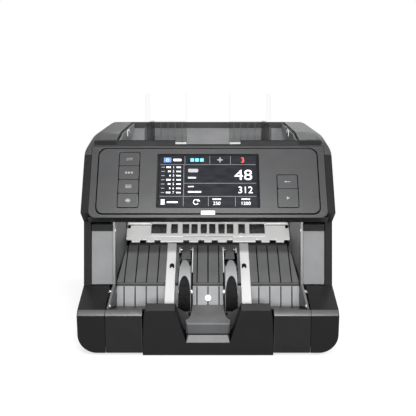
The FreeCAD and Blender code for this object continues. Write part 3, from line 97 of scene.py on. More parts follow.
def axes(tree):
    """The object's own coordinates as one value for each axis."""
    split = tree.nodes.new("ShaderNodeSeparateXYZ")
    tree.links.new(own_space(tree), split.inputs["Vector"])
    return split.outputs


def noise(tree, size, detail=2.0, stretch=(1, 1, 1)):
    """Noise whose features are about the given size, in the object's own space."""
    scale = add_node(tree, "ShaderNodeMapping", Scale=stretch)
    tree.links.new(own_space(tree), scale.inputs["Vector"])
    texture = add_node(tree, "ShaderNodeTexNoise", Scale=1 / (size * MM), Detail=detail)
    tree.links.new(scale.outputs["Vector"], texture.inputs["Vector"])
    return texture.outputs["Fac"]


def ramp(tree, source, low, high):
    """Colour that runs from low to high over the middle of the source's range."""
    item = tree.nodes.new("ShaderNodeValToRGB")
    for stop, position, colour in zip(item.color_ramp.elements, (RAMP_START, RAMP_END), (low, high)):
        stop.position = position
        stop.color = (*colour, 1)
    tree.links.new(source, item.inputs["Fac"])
    return item.outputs["Color"]


def shaded(colour, factor):
    return tuple(min(1.0, part * factor) for part in colour)


def tinted(tree, source, colour, dim, bright):
    """A colour that goes between two shades of itself with the source."""
    return ramp(tree, source, shaded(colour, dim), shaded(colour, bright))


def fade(tree, source, start, end, low, high):
    """A value that goes from low to high as the source goes from start to end."""
    limits = {"From Min": start, "From Max": end, "To Min": low, "To Max": high}
    item = add_node(tree, "ShaderNodeMapRange", **limits)
    tree.links.new(source, item.inputs["Value"])
    return item.outputs["Result"]


def spread(tree, source, low, high):
    """A value between low and high from a source between 0 and 1."""
    return fade(tree, source, 0.0, 1.0, low, high)


def height_step(tree, level, rise, low=0.0, high=1.0):
    """One value below a height, and another above it by the rise."""
    return fade(tree, axes(tree)["Z"], level * MM, (level + rise) * MM, low, high)


def surface(tree, shader, tint, rough):
    tree.links.new(tint, shader.inputs["Base Color"])
    tree.links.new(rough, shader.inputs["Roughness"])


def bump(tree, shader, source, strength, depth):
    item = add_node(tree, "ShaderNodeBump", Strength=strength, Distance=depth * MM)
    tree.links.new(source, item.inputs["Height"])
    tree.links.new(item.outputs["Normal"], shader.inputs["Normal"])


# Materials

# Plastic and metal: size of the mottling, depth of the grain, spread of the roughness to each side,
# and the rise over which a matt part loses its sheen
MOTTLE_SIZE = 18.0
GRAIN_DEPTH = 0.06
SHEEN_SPREAD = 0.06
LAY_SPREAD = 0.08
MATT_RISE = 0.5

# Clear guides: the middle, half width and bright edge of each, where its flange starts across,
# and the heights between which its smoky look clears
GUIDE_MIDDLE = 48.0
GUIDE_HALF = 22.5
GUIDE_EDGE = 0.8
FLANGE_START = 64.0
FLANGE_END = 65.0
SMOKE_LEVEL = 216.5
CLEAR_LEVEL = 219.5

TRACKS_PER_METRE = 260.0


def moulded(name, colour, rough, grain=0.35, contrast=0.06, relief=0.25, gloss=0.4,
            painted_step=None, rise=0.1, matt_above=None):
    """Moulded plastic: spark-eroded grain, faint mottling and an uneven sheen.
    A colour step can give a height and a second, darker colour under it, with the rise it blends over: painted
    shade under the height and painted light above it.
    Matt_above can give a height above which the plastic has no sheen."""
    item, shader, tree = material(name)
    mottle = noise(tree, MOTTLE_SIZE, detail=4.0)
    tint = tinted(tree, mottle, colour, 1 - contrast, 1 + contrast)
    if painted_step:
        level, low_colour = painted_step
        blend = tree.nodes.new("ShaderNodeMix")
        blend.data_type = "RGBA"
        tree.links.new(height_step(tree, level, rise), blend.inputs["Factor"])
        tree.links.new(tinted(tree, mottle, low_colour, 1 - contrast, 1 + contrast), blend.inputs["A"])
        tree.links.new(tint, blend.inputs["B"])
        tint = blend.outputs["Result"]
    fine = noise(tree, grain, detail=3.0)
    surface(tree, shader, tint, spread(tree, fine, rough - SHEEN_SPREAD, rough + SHEEN_SPREAD))
    bump(tree, shader, fine, relief, GRAIN_DEPTH)
    shader.inputs["Specular IOR Level"].default_value = gloss
    if matt_above:
        sheen = height_step(tree, matt_above, MATT_RISE, gloss, 0.0)
        tree.links.new(sheen, shader.inputs["Specular IOR Level"])
    return item


def rubber(name, colour):
    """Black rubber: dusty, matt and pitted."""
    item, shader, tree = material(name)
    dust = noise(tree, 3.5, detail=5.0)
    pits = noise(tree, 0.5)
    surface(tree, shader, tinted(tree, dust, colour, 0.8, 1.6), spread(tree, pits, 0.6, 0.8))
    bump(tree, shader, pits, strength=0.4, depth=0.08)
    shader.inputs["Specular IOR Level"].default_value = 0.08
    return item


def metal(name, colour, rough, stretch):
    """Metal with a lay of fine lines along one direction."""
    item, shader, tree = material(name)
    lay = noise(tree, 0.6, detail=4.0, stretch=stretch)
    tint = tinted(tree, lay, colour, 0.85, 1.0)
    surface(tree, shader, tint, spread(tree, lay, rough - LAY_SPREAD, rough + LAY_SPREAD))
    bump(tree, shader, lay, strength=0.15, depth=0.03)
    shader.inputs["Metallic"].default_value = 1.0
    return item


def clear_plastic(name, colour):
    """Clear acrylic: smoky to look through low in the hopper, all but unseen above it,
    with faint upright edges."""
    item, shader, tree = material(name)
    flow = noise(tree, 25.0, detail=1.0)
    surface(tree, shader, tinted(tree, flow, colour, 0.9, 1.0), spread(tree, flow, 0.3, 0.4))
    shader.inputs["Specular IOR Level"].default_value = 0.1
    place = axes(tree)
    across = calculate(tree, "ABSOLUTE", place["X"])
    smoke = fade(tree, across, FLANGE_START * MM, FLANGE_END * MM, 0.2, 0.7)
    clearing = fade(tree, place["Z"], SMOKE_LEVEL * MM, CLEAR_LEVEL * MM, 1.0, 0.0)
    veil = calculate(tree, "MULTIPLY", smoke, clearing)
    inside = calculate(tree, "COMPARE", across, GUIDE_MIDDLE * MM, (GUIDE_HALF - GUIDE_EDGE) * MM)
    edge = spread(tree, inside, 0.05, 0.0)
    tree.links.new(calculate(tree, "MAXIMUM", veil, edge), shader.inputs["Alpha"])
    return item


def glass_black(name, colour):
    """Black display glass with faint smears."""
    item, shader, tree = material(name)
    smear = noise(tree, 14.0, detail=5.0, stretch=(1, 3, 3))
    surface(tree, shader, tinted(tree, smear, colour, 0.8, 1.2), spread(tree, smear, 0.12, 0.22))
    shader.inputs["Specular IOR Level"].default_value = 0.1
    return item


def lit(name, colour, strength):
    """Lit ink of a display: fine dot grain over its own glow."""
    item, shader, tree = material(name)
    dots = noise(tree, 0.25, detail=1.0)
    surface(tree, shader, tinted(tree, dots, colour, 0.7, 0.9), spread(tree, dots, 0.3, 0.4))
    shader.inputs["Emission Color"].default_value = (*colour, 1)
    shader.inputs["Emission Strength"].default_value = strength
    return item


def circuit_board(name, colour):
    """Green lacquered board with copper tracks."""
    item, shader, tree = material(name)
    bricks = add_node(tree, "ShaderNodeTexBrick", Scale=TRACKS_PER_METRE)
    for key, factor in (("Color1", 1.0), ("Color2", 1.5), ("Mortar", 2.2)):
        bricks.inputs[key].default_value = (*shaded(colour, factor), 1)
    tree.links.new(own_space(tree), bricks.inputs["Vector"])
    tree.links.new(bricks.outputs["Color"], shader.inputs["Base Color"])
    bump(tree, shader, bricks.outputs["Fac"], strength=0.2, depth=0.05)
    shader.inputs["Roughness"].default_value = 0.35
    return item


# Finish of each material slot, and of the nodes that differ from their slot

DARK = (0.008, 0.008, 0.0086)
finish = {
    "dark_case": moulded("dark_case", DARK, 0.3, gloss=0.13),
    "grey_case": moulded("grey_case", (0.105, 0.106, 0.109), 0.48),
    "light_grey": moulded("light_grey", (0.25, 0.253, 0.257), 0.45),
    "off_white": moulded("off_white", (0.76, 0.76, 0.75), 0.45, contrast=0.02),
    "rubber": rubber("rubber", (0.007, 0.007, 0.0076)),
    "clear_guide": clear_plastic("clear_guide", (0.03, 0.03, 0.032)),
    "display_glass": glass_black("display_glass", (0.008, 0.0085, 0.01)),
    "white_lens": lit("white_lens", (0.9, 0.9, 0.9), 0.5),
    "circuit": circuit_board("circuit", (0.01, 0.09, 0.03)),
    "black_sensor": moulded("black_sensor", (0.015, 0.015, 0.018), 0.35),
    "steel": metal("steel", (0.55, 0.56, 0.57), 0.3, (0.05, 1, 1)),
    "brass": metal("brass", (0.6, 0.44, 0.16), 0.3, (1, 1, 1)),
    "motor_steel": metal("motor_steel", (0.22, 0.22, 0.23), 0.4, (0.1, 1, 1)),
    "alloy": metal("alloy", (0.62, 0.62, 0.64), 0.4, (1, 1, 0.1)),
}

# Heights at which a node's colour steps between painted shade and painted light, or where its sheen ends
CHIN_LEVEL = 132.4
TONGUE_LEVEL = 30.0
LEDGE_LEVEL = 44.0
WALL_LEVEL = 65.0
WALL_RISE = 55.0
LIP_LEVEL = 200.2

OWN_FINISHES = (
    (("control_panel", *KEYS),
     moulded("panel_film", (0.038, 0.0385, 0.04), 0.27, grain=0.2, relief=0.1, gloss=0.25)),
    # Head plastic, near-black under CHIN_LEVEL as painted shade under the chin
    (("head_shell",),
     moulded("head_plastic_painted_chin_shade", (0.034, 0.0344, 0.0356), 0.26, relief=0.15, gloss=0.25,
             painted_step=(CHIN_LEVEL, DARK), matt_above=LIP_LEVEL)),
    (("top_cover",), moulded("cover_plastic", (0.048, 0.049, 0.051), 0.5, gloss=0.07)),
    (("stacker_chute",), moulded("chute_plastic", (0.118, 0.119, 0.121), 0.34, gloss=0.25)),
    # Pocket walls, darker towards the foot and pale high up: painted light on their upper part
    (("stacker_wall_left", "stacker_wall_right"),
     moulded("pocket_plastic_painted_light", (0.25, 0.252, 0.256), 0.45,
             painted_step=(WALL_LEVEL, (0.118, 0.119, 0.122)), rise=WALL_RISE)),
    # Tongue, darker under TONGUE_LEVEL: painted shade on its front face
    (("finger_tongue",),
     moulded("tongue_plastic_painted_shade", (0.138, 0.139, 0.141), 0.45, gloss=0.25,
             painted_step=(TONGUE_LEVEL, (0.065, 0.066, 0.068)))),
    (("hopper_tray",), moulded("tray_plastic", (0.195, 0.197, 0.2), 0.5, gloss=0.15)),
    # Outlet rollers paler than black rubber: painted sheen on black rollers
    (("outlet_rollers",), rubber("roller_rubber_painted_sheen", (0.045, 0.045, 0.0465))),
    # Base corners, paler above LEDGE_LEVEL than on their fronts: painted light on their tops
    (("base_corner_left", "base_corner_right"),
     moulded("corner_plastic_painted_light", (0.015, 0.015, 0.0158), 0.27, gloss=0.13,
             painted_step=(LEDGE_LEVEL, (0.0065, 0.0065, 0.007)))),
    (("side_cover_left", "side_cover_right"),
     moulded("side_plastic", (0.014, 0.014, 0.0148), 0.42, gloss=0.05)),
    (("rear_frame", "rear_cover"), moulded("rear_plastic", (0.024, 0.0242, 0.0252), 0.45, gloss=0.2)),
    # Fascia, paler above LEDGE_LEVEL: a painted highlight along the ledge
    (("base_fascia",),
     moulded("fascia_plastic_painted_highlight", (0.036, 0.036, 0.0372), 0.3, gloss=0.13,
             painted_step=(LEDGE_LEVEL, (0.011, 0.011, 0.0118)))),
    (("column_panel_left", "column_panel_right"), moulded("column_plastic", (0.15, 0.152, 0.155), 0.5)),
    (("outlet_comb",), moulded("comb_plastic", (0.95, 0.95, 0.94), 0.45, contrast=0.02)),
    (("guide_strips",), moulded("strip_plastic", (0.62, 0.62, 0.615), 0.45, contrast=0.02)),
)
own_finish = {name: plastic for names, plastic in OWN_FINISHES for name in names}
for subpart in frame["record"]["subparts"]:
    name = subpart["node"]
    nodes[name].data.materials.clear()
    nodes[name].data.materials.append(own_finish.get(name, finish[subpart["material_slot"]]))

# Inks, and the plastics of the small pieces, several of them painted light and shade
white_ink = lit("white_ink", (0.85, 0.87, 0.9), 0.75)
grey_ink = lit("grey_ink", (0.3, 0.31, 0.33), 0.4)
cyan_ink = lit("cyan_ink", (0.1, 0.55, 0.75), 0.7)
blue_ink = lit("blue_ink", (0.05, 0.16, 0.6), 0.7)
red_ink = lit("red_ink", (0.8, 0.05, 0.03), 0.8)
line_ink = lit("line_ink", (0.13, 0.134, 0.146), 0.25)
key_print_ink = moulded("key_print_ink", (0.26, 0.26, 0.265), 0.5, grain=0.2)
screen_black = glass_black("screen_black", (0.016, 0.017, 0.021))
bezel_black = moulded("bezel_black", (0.009, 0.009, 0.0096), 0.4, grain=0.2, gloss=0.12)
# Black for the bosses at the comb's ends, and painted shade in the flutes, over the columns and on the shoulders
inlay_and_shade_black = moulded("inlay_and_shade_black", (0.006, 0.006, 0.0065), 0.5, grain=0.3, gloss=0.15)
groove_black = moulded("groove_black", (0.004, 0.004, 0.0042), 0.7, grain=0.2, gloss=0.0)
arm_grey = moulded("arm_grey", (0.09, 0.09, 0.092), 0.45)
# Painted shade on the chute's nose
nose_shade_grey = moulded("nose_shade_grey", (0.03, 0.03, 0.031), 0.4)
# Painted highlight along the base's ledge
ledge_highlight_grey = moulded("ledge_highlight_grey", (0.06, 0.06, 0.062), 0.3)
# Painted light on the tops of the lobes
lobe_light_grey = moulded("lobe_light_grey", (0.045, 0.045, 0.0465), 0.4, gloss=0.2)
# Painted highlight in the finger recess
recess_highlight_grey = moulded("recess_highlight_grey", (0.13, 0.131, 0.133), 0.35)
# Painted light over the joints beside the centre block
joint_light_grey = moulded("joint_light_grey", (0.018, 0.018, 0.0188), 0.35, gloss=0.13)
# Grey for the guides' rib edges, and painted shade on the chute's lip
rib_and_shade_grey = moulded("rib_and_shade_grey", (0.05, 0.05, 0.052), 0.4)
well_grey = moulded("well_grey", (0.028, 0.028, 0.029), 0.45, gloss=0.2)
# White for the comb's rails, blocks and slot liners, and painted glints on the wall screws
white_and_glint_plastic = moulded("white_and_glint_plastic", (0.88, 0.88, 0.87), 0.35, contrast=0.02)


# Edge rounding of the hard nodes

WELD_GAP = 0.002
EDGE_ANGLE = 30.0
EDGE_WIDTHS = {
    0.9: ("side_cover_left", "side_cover_right"),
    0.7: ("head_shell", "finger_tongue"),
    0.5: ("base_corner_left", "base_corner_right", "stacker_front"),
    0.4: ("column_panel_left", "column_panel_right", "stacker_wall_left", "stacker_wall_right",
          "top_cover"),
    0.25: ("base_fascia", "control_panel", "outlet_comb", "guide_strips", *KEYS, "status_light"),
}


def soften(name, width):
    """Small round edges on a node that keeps its own mesh."""
    weld = nodes[name].modifiers.new("weld", "WELD")
    weld.merge_threshold = WELD_GAP * MM
    edge = nodes[name].modifiers.new("edge", "BEVEL")
    edge.width = width * MM
    edge.segments = 2
    edge.limit_method = "ANGLE"
    edge.angle_limit = math.radians(EDGE_ANGLE)
    edge.use_clamp_overlap = True
    edge.harden_normals = True


for width, names in EDGE_WIDTHS.items():
    for name in names:
        soften(name, width)


# Places and outlines

push = Vector(joints["key_start_press"]["axis"])
up_slope = Vector((0, -push.z, push.y))


class Plane:
    """A flat place for pieces: across is sideways, up and lift follow its own directions."""

    def __init__(self, middle, up, out):
        self.middle = middle
        self.up = up
        self.out = out

    def place(self, across, up, lift):
        return self.middle + (Vector((1, 0, 0)) * across + self.up * up + self.out * lift) * MM


class Face(Plane):
    """The visible face of a flat CAD node on the sloping panel, from its middle."""

    def __init__(self, node):
        low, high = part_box(node)
        size = high - low
        lean_sine, lean_cosine = up_slope.y, up_slope.z
        spare = lean_cosine ** 2 - lean_sine ** 2
        tall = (size.z * lean_cosine - size.y * lean_sine) / spare
        lower_edge = Vector(((low.x + high.x) / 2, low.y, high.z - tall * lean_cosine))
        super().__init__(lower_edge + up_slope * tall / 2, up_slope, -push)
        self.half_wide = size.x / MM / 2
        self.half_tall = tall / MM / 2


def slope(foot, top):
    """The plane across the machine through two (along, up) places, measured from the first."""
    start = Vector((0, *foot)) * MM
    rise = (Vector((0, *top)) * MM - start).normalized()
    return Plane(start, rise, Vector((0, -rise.z, rise.y)))


def box_mm(node):
    low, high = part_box(node)
    return low / MM, high / MM


def arc_points(x, y, radius, start, end, steps):
    """Points along part of a circle, angles in degrees."""
    angles = [math.radians(start + (end - start) * step / steps) for step in range(steps + 1)]
    return [(x + radius * math.cos(angle), y + radius * math.sin(angle)) for angle in angles]


def oblong(left, right, low, high, corner=0.0, steps=5):
    """The outline of a rectangle, with round corners where a corner radius is given."""
    if not corner:
        return [(left, low), (right, low), (right, high), (left, high)]
    points = []
    for x, y, start in ((right - corner, low + corner, -90), (right - corner, high - corner, 0),
                        (left + corner, high - corner, 90), (left + corner, low + corner, 180)):
        points += arc_points(x, y, corner, start, start + 90, steps)
    return points


# Ways to make a piece

def skin(mesh, loops, ring=False):
    """Faces between loops of as many points each, joined in a ring or capped at both ends."""
    rows = [[mesh.verts.new(point) for point in loop] for loop in loops]
    pairs = list(zip(rows, rows[1:]))
    if ring:
        pairs.append((rows[-1], rows[0]))
    else:
        mesh.faces.new(rows[0][::-1])
        mesh.faces.new(rows[-1])
    for first, second in pairs:
        for index in range(len(first)):
            after = (index + 1) % len(first)
            mesh.faces.new((first[index], first[after], second[after], second[index]))


def closed(mesh, corner=0.0):
    """The mesh with its faces outward, and small round edges where a corner is given."""
    bmesh.ops.recalc_face_normals(mesh, faces=mesh.faces)
    if corner:
        bmesh.ops.bevel(mesh, geom=mesh.edges, offset=corner * MM, segments=2, affect="EDGES", profile=0.5)
    return mesh


def piece(name, mesh, ink, body="chassis"):
    """A new object from a finished mesh, riding on a body."""
    data = bpy.data.meshes.new(name)
    mesh.to_mesh(data)
    mesh.free()
    item = bpy.data.objects.new(name, data)
    bpy.context.scene.collection.objects.link(item)
    data.materials.append(ink)
    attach(item, body)


def prism(first, last, corner):
    """A solid between two loops of points."""
    mesh = bmesh.new()
    skin(mesh, [[[part * MM for part in point] for point in loop] for loop in (first, last)])
    return closed(mesh, corner)


def extruded(profile, start, end, corner=0.0):
    """A solid with a side outline given as (along, up), between two places across."""
    first, last = ([(across, along, up) for along, up in profile] for across in (start, end))
    return prism(first, last, corner)


def plate(outline, near, far, corner=0.0):
    """A solid with a front outline given as (across, up), between two places along."""
    first, last = ([(across, along, up) for across, up in outline] for along in (near, far))
    return prism(first, last, corner)


def lathe(middle, axis, profile, steps=20):
    """A turned solid: a profile of (radius, height) around an axis through its middle."""
    turn = Vector((0, 0, 1)).rotation_difference(Vector(axis)).to_matrix().to_4x4()
    stand = Matrix.Translation(Vector(middle) * MM) @ turn
    loops = []
    for radius, height in profile:
        circle = arc_points(0, 0, radius, 0, 360, steps)[:-1]
        loops.append([stand @ (Vector((x, y, height)) * MM) for x, y in circle])
    mesh = bmesh.new()
    skin(mesh, loops)
    return closed(mesh)


def flattened(name, curve):
    """The mesh of a curve or text that isn't needed afterwards."""
    helper = bpy.data.objects.new(name, curve)
    data = bpy.data.meshes.new_from_object(helper)
    bpy.data.objects.remove(helper)
    bpy.data.curves.remove(curve)
    return data


def wire(points, radius):
    """A round wire along points."""
    curve = bpy.data.curves.new("wire", "CURVE")
    curve.dimensions = "3D"
    curve.bevel_depth = radius * MM
    curve.bevel_resolution = 3
    curve.use_fill_caps = True
    line = curve.splines.new("POLY")
    line.points.add(len(points) - 1)
    for knot, place in zip(line.points, points):
        knot.co = (*(part * MM for part in place), 1)
    data = flattened("wire", curve)
    mesh = bmesh.new()
    mesh.from_mesh(data)
    bpy.data.meshes.remove(data)
    return mesh


class Print:
    """Flat marks of one colour on a plane, gathered in one thin piece."""

    # Height of the digits as a share of the font's size
    DIGIT_SHARE = 0.7

    def __init__(self, name, plane, lift, thick=0.06):
        self.name = name
        self.plane = plane
        self.lift = lift
        self.thick = thick
        self.mesh = bmesh.new()

    def raised(self, points, lift):
        return [self.plane.place(x, y, lift) for x, y in points]

    def polygon(self, points):
        """A flat plate with the outline given."""
        skin(self.mesh, [self.raised(points, lift) for lift in (self.lift, self.lift + self.thick)])

    def bar(self, left, right, low, high, corner=0.0):
        self.polygon(oblong(left, right, low, high, corner))

    def arc(self, x, y, radius, width, start, end, steps=20):
        """A band along part of a circle, angles in degrees."""
        inner, outer = (arc_points(x, y, radius + side * width / 2, start, end, steps) for side in (-1, 1))
        for index in range(steps):
            self.polygon([inner[index], outer[index], outer[index + 1], inner[index + 1]])

    def number(self, text, x, y, tall, align, width=1.0):
        """Plain digits with the middle or right end of their foot at a place."""
        curve = bpy.data.curves.new("digits", "FONT")
        curve.body = text
        curve.align_x = align
        curve.size = tall / self.DIGIT_SHARE
        curve.extrude = self.thick / 2
        curve.resolution_u = 4
        data = flattened("digits", curve)
        turn = Matrix((
            (width, 0, 0, 0), (*self.plane.up, 0), (*self.plane.out, 0), (0, 0, 0, 1),
        )).transposed()
        start = Matrix.Translation(self.plane.place(x, y, self.lift + self.thick / 2))
        data.transform(start @ turn @ Matrix.Scale(MM, 4))
        self.mesh.from_mesh(data)
        bpy.data.meshes.remove(data)

    def ring(self, outer, inner, outer_lift, inner_lift):
        """A sloping frame between two loops with as many points each."""
        skin(self.mesh, [
            self.raised(outer, outer_lift), self.raised(inner, inner_lift),
            self.raised(inner, self.lift), self.raised(outer, self.lift),
        ], ring=True)

    def done(self, slot, ink, corner=0.0, body="chassis"):
        piece(self.name, closed(self.mesh, corner), ink, body)


# Screen: the lit area and the bezel round it, from the middle of the glass

LIT_HALF_WIDE = 50.6
LIT_HALF_TALL = 29.0
LIT_ROUND = 0.6
glass = Face("display_window")
lit_area = Print("screen_area", glass, 0.02, 0.04)
lit_area.bar(-LIT_HALF_WIDE, LIT_HALF_WIDE, -LIT_HALF_TALL, LIT_HALF_TALL, LIT_ROUND)
lit_area.done("display_glass", screen_black)

DISPLAY_RIM = 0.72
BEZEL_WIDE = 1.3
BEZEL_ROUND = 1.6
BEZEL_SHARP = 0.05
BEZEL_TOP = 1.35
BEZEL_FOOT = 0.1
open_wide = glass.half_wide - DISPLAY_RIM
open_tall = glass.half_tall - DISPLAY_RIM
seen_wide = open_wide - BEZEL_WIDE
seen_tall = open_tall - BEZEL_WIDE
bezel = Print("display_bezel", glass, 0.01)
bezel.ring(oblong(-open_wide, open_wide, -open_tall, open_tall, BEZEL_SHARP),
           oblong(-seen_wide, seen_wide, -seen_tall, seen_tall, BEZEL_ROUND), BEZEL_TOP, BEZEL_FOOT)
bezel.done("dark_case", bezel_black)

# Dark groove round the control panel: thin at the top, broader at the foot
PANEL_ROUND = 6.5
GROOVE_ROUND = 7.4
GROOVE_OUT = 0.85
GROOVE_TOP = 0.4
GROOVE_SIDE = 0.35
GROOVE_HEAD = 0.1
GROOVE_SILL = 0.8
GROOVE_FLOOR = -1.4
panel = Face("control_panel")
groove = Print("panel_groove", panel, GROOVE_FLOOR)
groove.ring(oblong(-panel.half_wide - GROOVE_OUT, panel.half_wide + GROOVE_OUT,
                   -panel.half_tall - GROOVE_OUT, panel.half_tall + GROOVE_TOP, GROOVE_ROUND),
            oblong(GROOVE_SIDE - panel.half_wide, panel.half_wide - GROOVE_SIDE,
                   GROOVE_SILL - panel.half_tall, panel.half_tall - GROOVE_HEAD, PANEL_ROUND), 0.0, 0.05)
groove.done("dark_case", groove_black)

# Dark outlines of the two groups of keys
KEY_GAP = 0.12
KEY_LINE = 0.75
KEY_ROUND = 1.4
KEY_LINE_LIFT = 0.03
for side, top_key, low_key in (("left", "key_change", "key_print"), ("right", "key_escape", "key_start")):
    top_face, low_face = Face(top_key), Face(low_key)
    middle = (top_face.middle.x - panel.middle.x) / MM
    half = top_face.half_wide
    low = (low_face.middle - panel.middle).dot(up_slope) / MM - low_face.half_tall
    high = (top_face.middle - panel.middle).dot(up_slope) / MM + top_face.half_tall
    loops = [oblong(middle - half - far, middle + half + far, low - far, high + far, KEY_ROUND + far)
             for far in (KEY_GAP + KEY_LINE, KEY_GAP)]
    key_line = Print(f"key_outline_{side}", panel, 0.0)
    key_line.ring(*loops, KEY_LINE_LIFT, KEY_LINE_LIFT)
    key_line.done("dark_case", groove_black)


# Marks on the screen, from the middle of the glass

SCREEN_LIFT = 0.08
screen_inks = {"white": white_ink, "lines": line_ink, "cyan": cyan_ink, "grey": grey_ink,
               "blue": blue_ink, "red": red_ink}
screen = {colour: Print(f"screen_{colour}", glass, SCREEN_LIFT) for colour in screen_inks}

# Rules between the rows and beside the list
ROW_TOP = 18.6
ROW_MIDDLE = -2.6
ROW_TOTAL = -17.2
SIDE_RULE = -25.2
TOP_RULES = (-24.2, 1.8, 23.6)
LOW_RULES = (-25.4, 0.4, 28.2)
RULE_HALF = 0.25
RULE_END = 50.0
RULE_GAP = 0.8
for level, left in ((ROW_TOP, -RULE_END), (ROW_MIDDLE, SIDE_RULE), (ROW_TOTAL, -RULE_END)):
    screen["lines"].bar(left, RULE_END, level - RULE_HALF, level + RULE_HALF)
uprights = [(across, ROW_TOP + RULE_GAP, LIT_HALF_TALL - RULE_GAP) for across in TOP_RULES]
uprights += [(across, RULE_GAP - LIT_HALF_TALL, ROW_TOTAL - RULE_GAP) for across in LOW_RULES]
uprights.append((SIDE_RULE, ROW_TOTAL, ROW_TOP))
for across, low, high in uprights:
    screen["lines"].bar(across - RULE_HALF, across + RULE_HALF, low, high)

# List on the left: a short line, some blocks, a row number and more blocks in each row
LIST_ROWS = 7
LIST_TOP = 15.6
LIST_PITCH = 4.75
LIST_LINE = (-48.6, -45.2)
LIST_LINE_HALF = 0.3
LIST_BLOCKS = (-43.4, -41.8, -40.2)
LIST_NUMBER = -36.0
LIST_NUMBER_TALL = 2.5
LIST_NUMBER_DROP = 1.2
LIST_TAIL = (-32.8, -31.2, -29.6)
LIST_BLOCK_WIDE = 1.2
LIST_BLOCK_HALF = 0.9
LIST_BLOCK_ROUND = 0.3
TAIL_RISE = 0.7
for row in range(LIST_ROWS):
    level = LIST_TOP - LIST_PITCH * row
    foot = level - LIST_BLOCK_HALF
    screen["grey"].bar(*LIST_LINE, level - LIST_LINE_HALF, level + LIST_LINE_HALF)
    for left in LIST_BLOCKS[row % len(LIST_BLOCKS):]:
        screen["white"].bar(left, left + LIST_BLOCK_WIDE, foot, level + LIST_BLOCK_HALF, LIST_BLOCK_ROUND)
    screen["white"].number(str(row + 1), LIST_NUMBER, level - LIST_NUMBER_DROP, LIST_NUMBER_TALL, "CENTER")
    for left in LIST_TAIL:
        screen["white"].bar(left, left + LIST_BLOCK_WIDE, foot, level + TAIL_RISE, LIST_BLOCK_ROUND)

# The other bars as (colour, left, right, low, high, corner)
SCREEN_BARS = (
    # Top row: a badge, a bar, three squares and a plus
    ("blue", -46.4, -38.6, 21.2, 26.6, 0.5),
    ("white", -36.4, -28.0, 22.6, 25.2, 0.8),
    ("cyan", -18.4, -14.6, 22.0, 25.8, 0.4),
    ("cyan", -13.4, -9.6, 22.0, 25.8, 0.4),
    ("cyan", -8.4, -4.6, 22.0, 25.8, 0.4),
    ("grey", 9.8, 15.4, 23.4, 24.6, 0.0),
    ("grey", 12.0, 13.2, 21.2, 26.8, 0.0),
    # Count and total: a pale pill and short bars
    ("grey", -20.8, -10.2, 9.8, 13.8, 1.4),
    ("white", -20.8, -12.6, 3.0, 4.4, 0.5),
    ("white", -20.8, -14.8, -6.8, -5.8, 0.4),
    ("white", -20.8, -7.0, -13.0, -11.4, 0.6),
    # Bottom row: three bars, a long bar and a bar over each of two settings
    ("white", -48.6, -44.6, -26.2, -25.0, 0.0),
    ("white", -48.6, -44.6, -24.0, -22.8, 0.0),
    ("white", -48.6, -44.6, -21.8, -20.6, 0.0),
    ("white", -42.4, -31.0, -24.4, -22.8, 0.6),
    ("white", 4.6, 13.4, -20.9, -19.7, 0.3),
    ("white", 34.4, 43.2, -20.9, -19.7, 0.3),
)
for colour, *bar in SCREEN_BARS:
    screen[colour].bar(*bar)

# Plain numbers as (colour, digits, across, foot, height, alignment, width)
SCREEN_NUMBERS = (
    ("red", "3", 36.4, 20.8, 6.2, "CENTER", 1.0),
    ("white", "48", 46.6, 1.2, 11.6, "RIGHT", 1.16),
    ("white", "312", 46.6, -13.6, 7.4, "RIGHT", 1.0),
    ("white", "250", 9.0, -26.6, 3.6, "CENTER", 1.0),
    ("white", "1200", 38.8, -26.6, 3.6, "CENTER", 1.0),
)
for colour, *number in SCREEN_NUMBERS:
    screen[colour].number(*number)

# Ring in the badge and a turning arrow, as (across, up, radius, width, start, end), and the arrow's head
SCREEN_ARCS = ((-42.5, 23.9, 1.5, 0.5, 0, 360), (-12.4, -23.4, 2.6, 0.8, 30, 330))
ARROW_HEAD = ((-11.6, -22.6), (-8.2, -22.6), (-9.9, -20.0))
for arc in SCREEN_ARCS:
    screen["white"].arc(*arc)
screen["white"].polygon(ARROW_HEAD)
for colour, ink in screen_inks.items():
    screen[colour].done("white_lens", ink)


# Round lower corners of the head's face

HEAD_ROUND = 7.0
HEAD_INSET = 0.1
HEAD_STEPS = 8
head_low, head_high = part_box("head_shell")
face_low = (head_low.y - panel.middle.y) / up_slope.y / MM
corners = Print("head_corners", panel, 0.01, 0.12)
for _, sign in SIDES:
    edge = sign * (head_high.x / MM - HEAD_INSET)
    bend = arc_points(edge - sign * HEAD_ROUND, face_low + HEAD_ROUND, HEAD_ROUND, -90, sign * 90 - 90,
                      HEAD_STEPS)
    corners.polygon([(edge, face_low), *bend])
corners.done("dark_case", groove_black)


# Key signs: bars as (left, right, low, high, corner) and outlines, from the middle of each key

KEY_SIGNS = {
    "key_change": (((-3.2, 3.2, 0.7, 1.1), (-3.2, 3.2, -1.1, -0.7)),
                   (((3.6, 0.9), (2.2, 1.6), (2.2, 0.2)), ((-3.6, -0.9), (-2.2, -1.6), (-2.2, -0.2)))),
    "key_mode": (((-4.0, -2.0, -1.0, 1.0, 0.2), (-1.0, 1.0, -1.0, 1.0, 0.2), (2.0, 4.0, -1.0, 1.0, 0.2)),
                 ()),
    "key_menu": (((-3.2, 3.2, -1.7, -1.1), (-3.2, 3.2, -0.3, 0.3), (-3.2, 3.2, 1.1, 1.7)), ()),
    "key_print": (((-2.6, 2.6, -1.0, 0.7, 0.2), (-1.6, 1.6, 0.9, 1.7), (-1.6, 1.6, -2.0, -1.2)), ()),
    "key_escape": (((-1.4, 3.0, -0.3, 0.3),), (((-3.2, 0.0), (-1.4, -1.2), (-1.4, 1.2)),)),
    "key_start": ((), (((-1.4, -1.7), (1.8, 0.0), (-1.4, 1.7)),)),
}
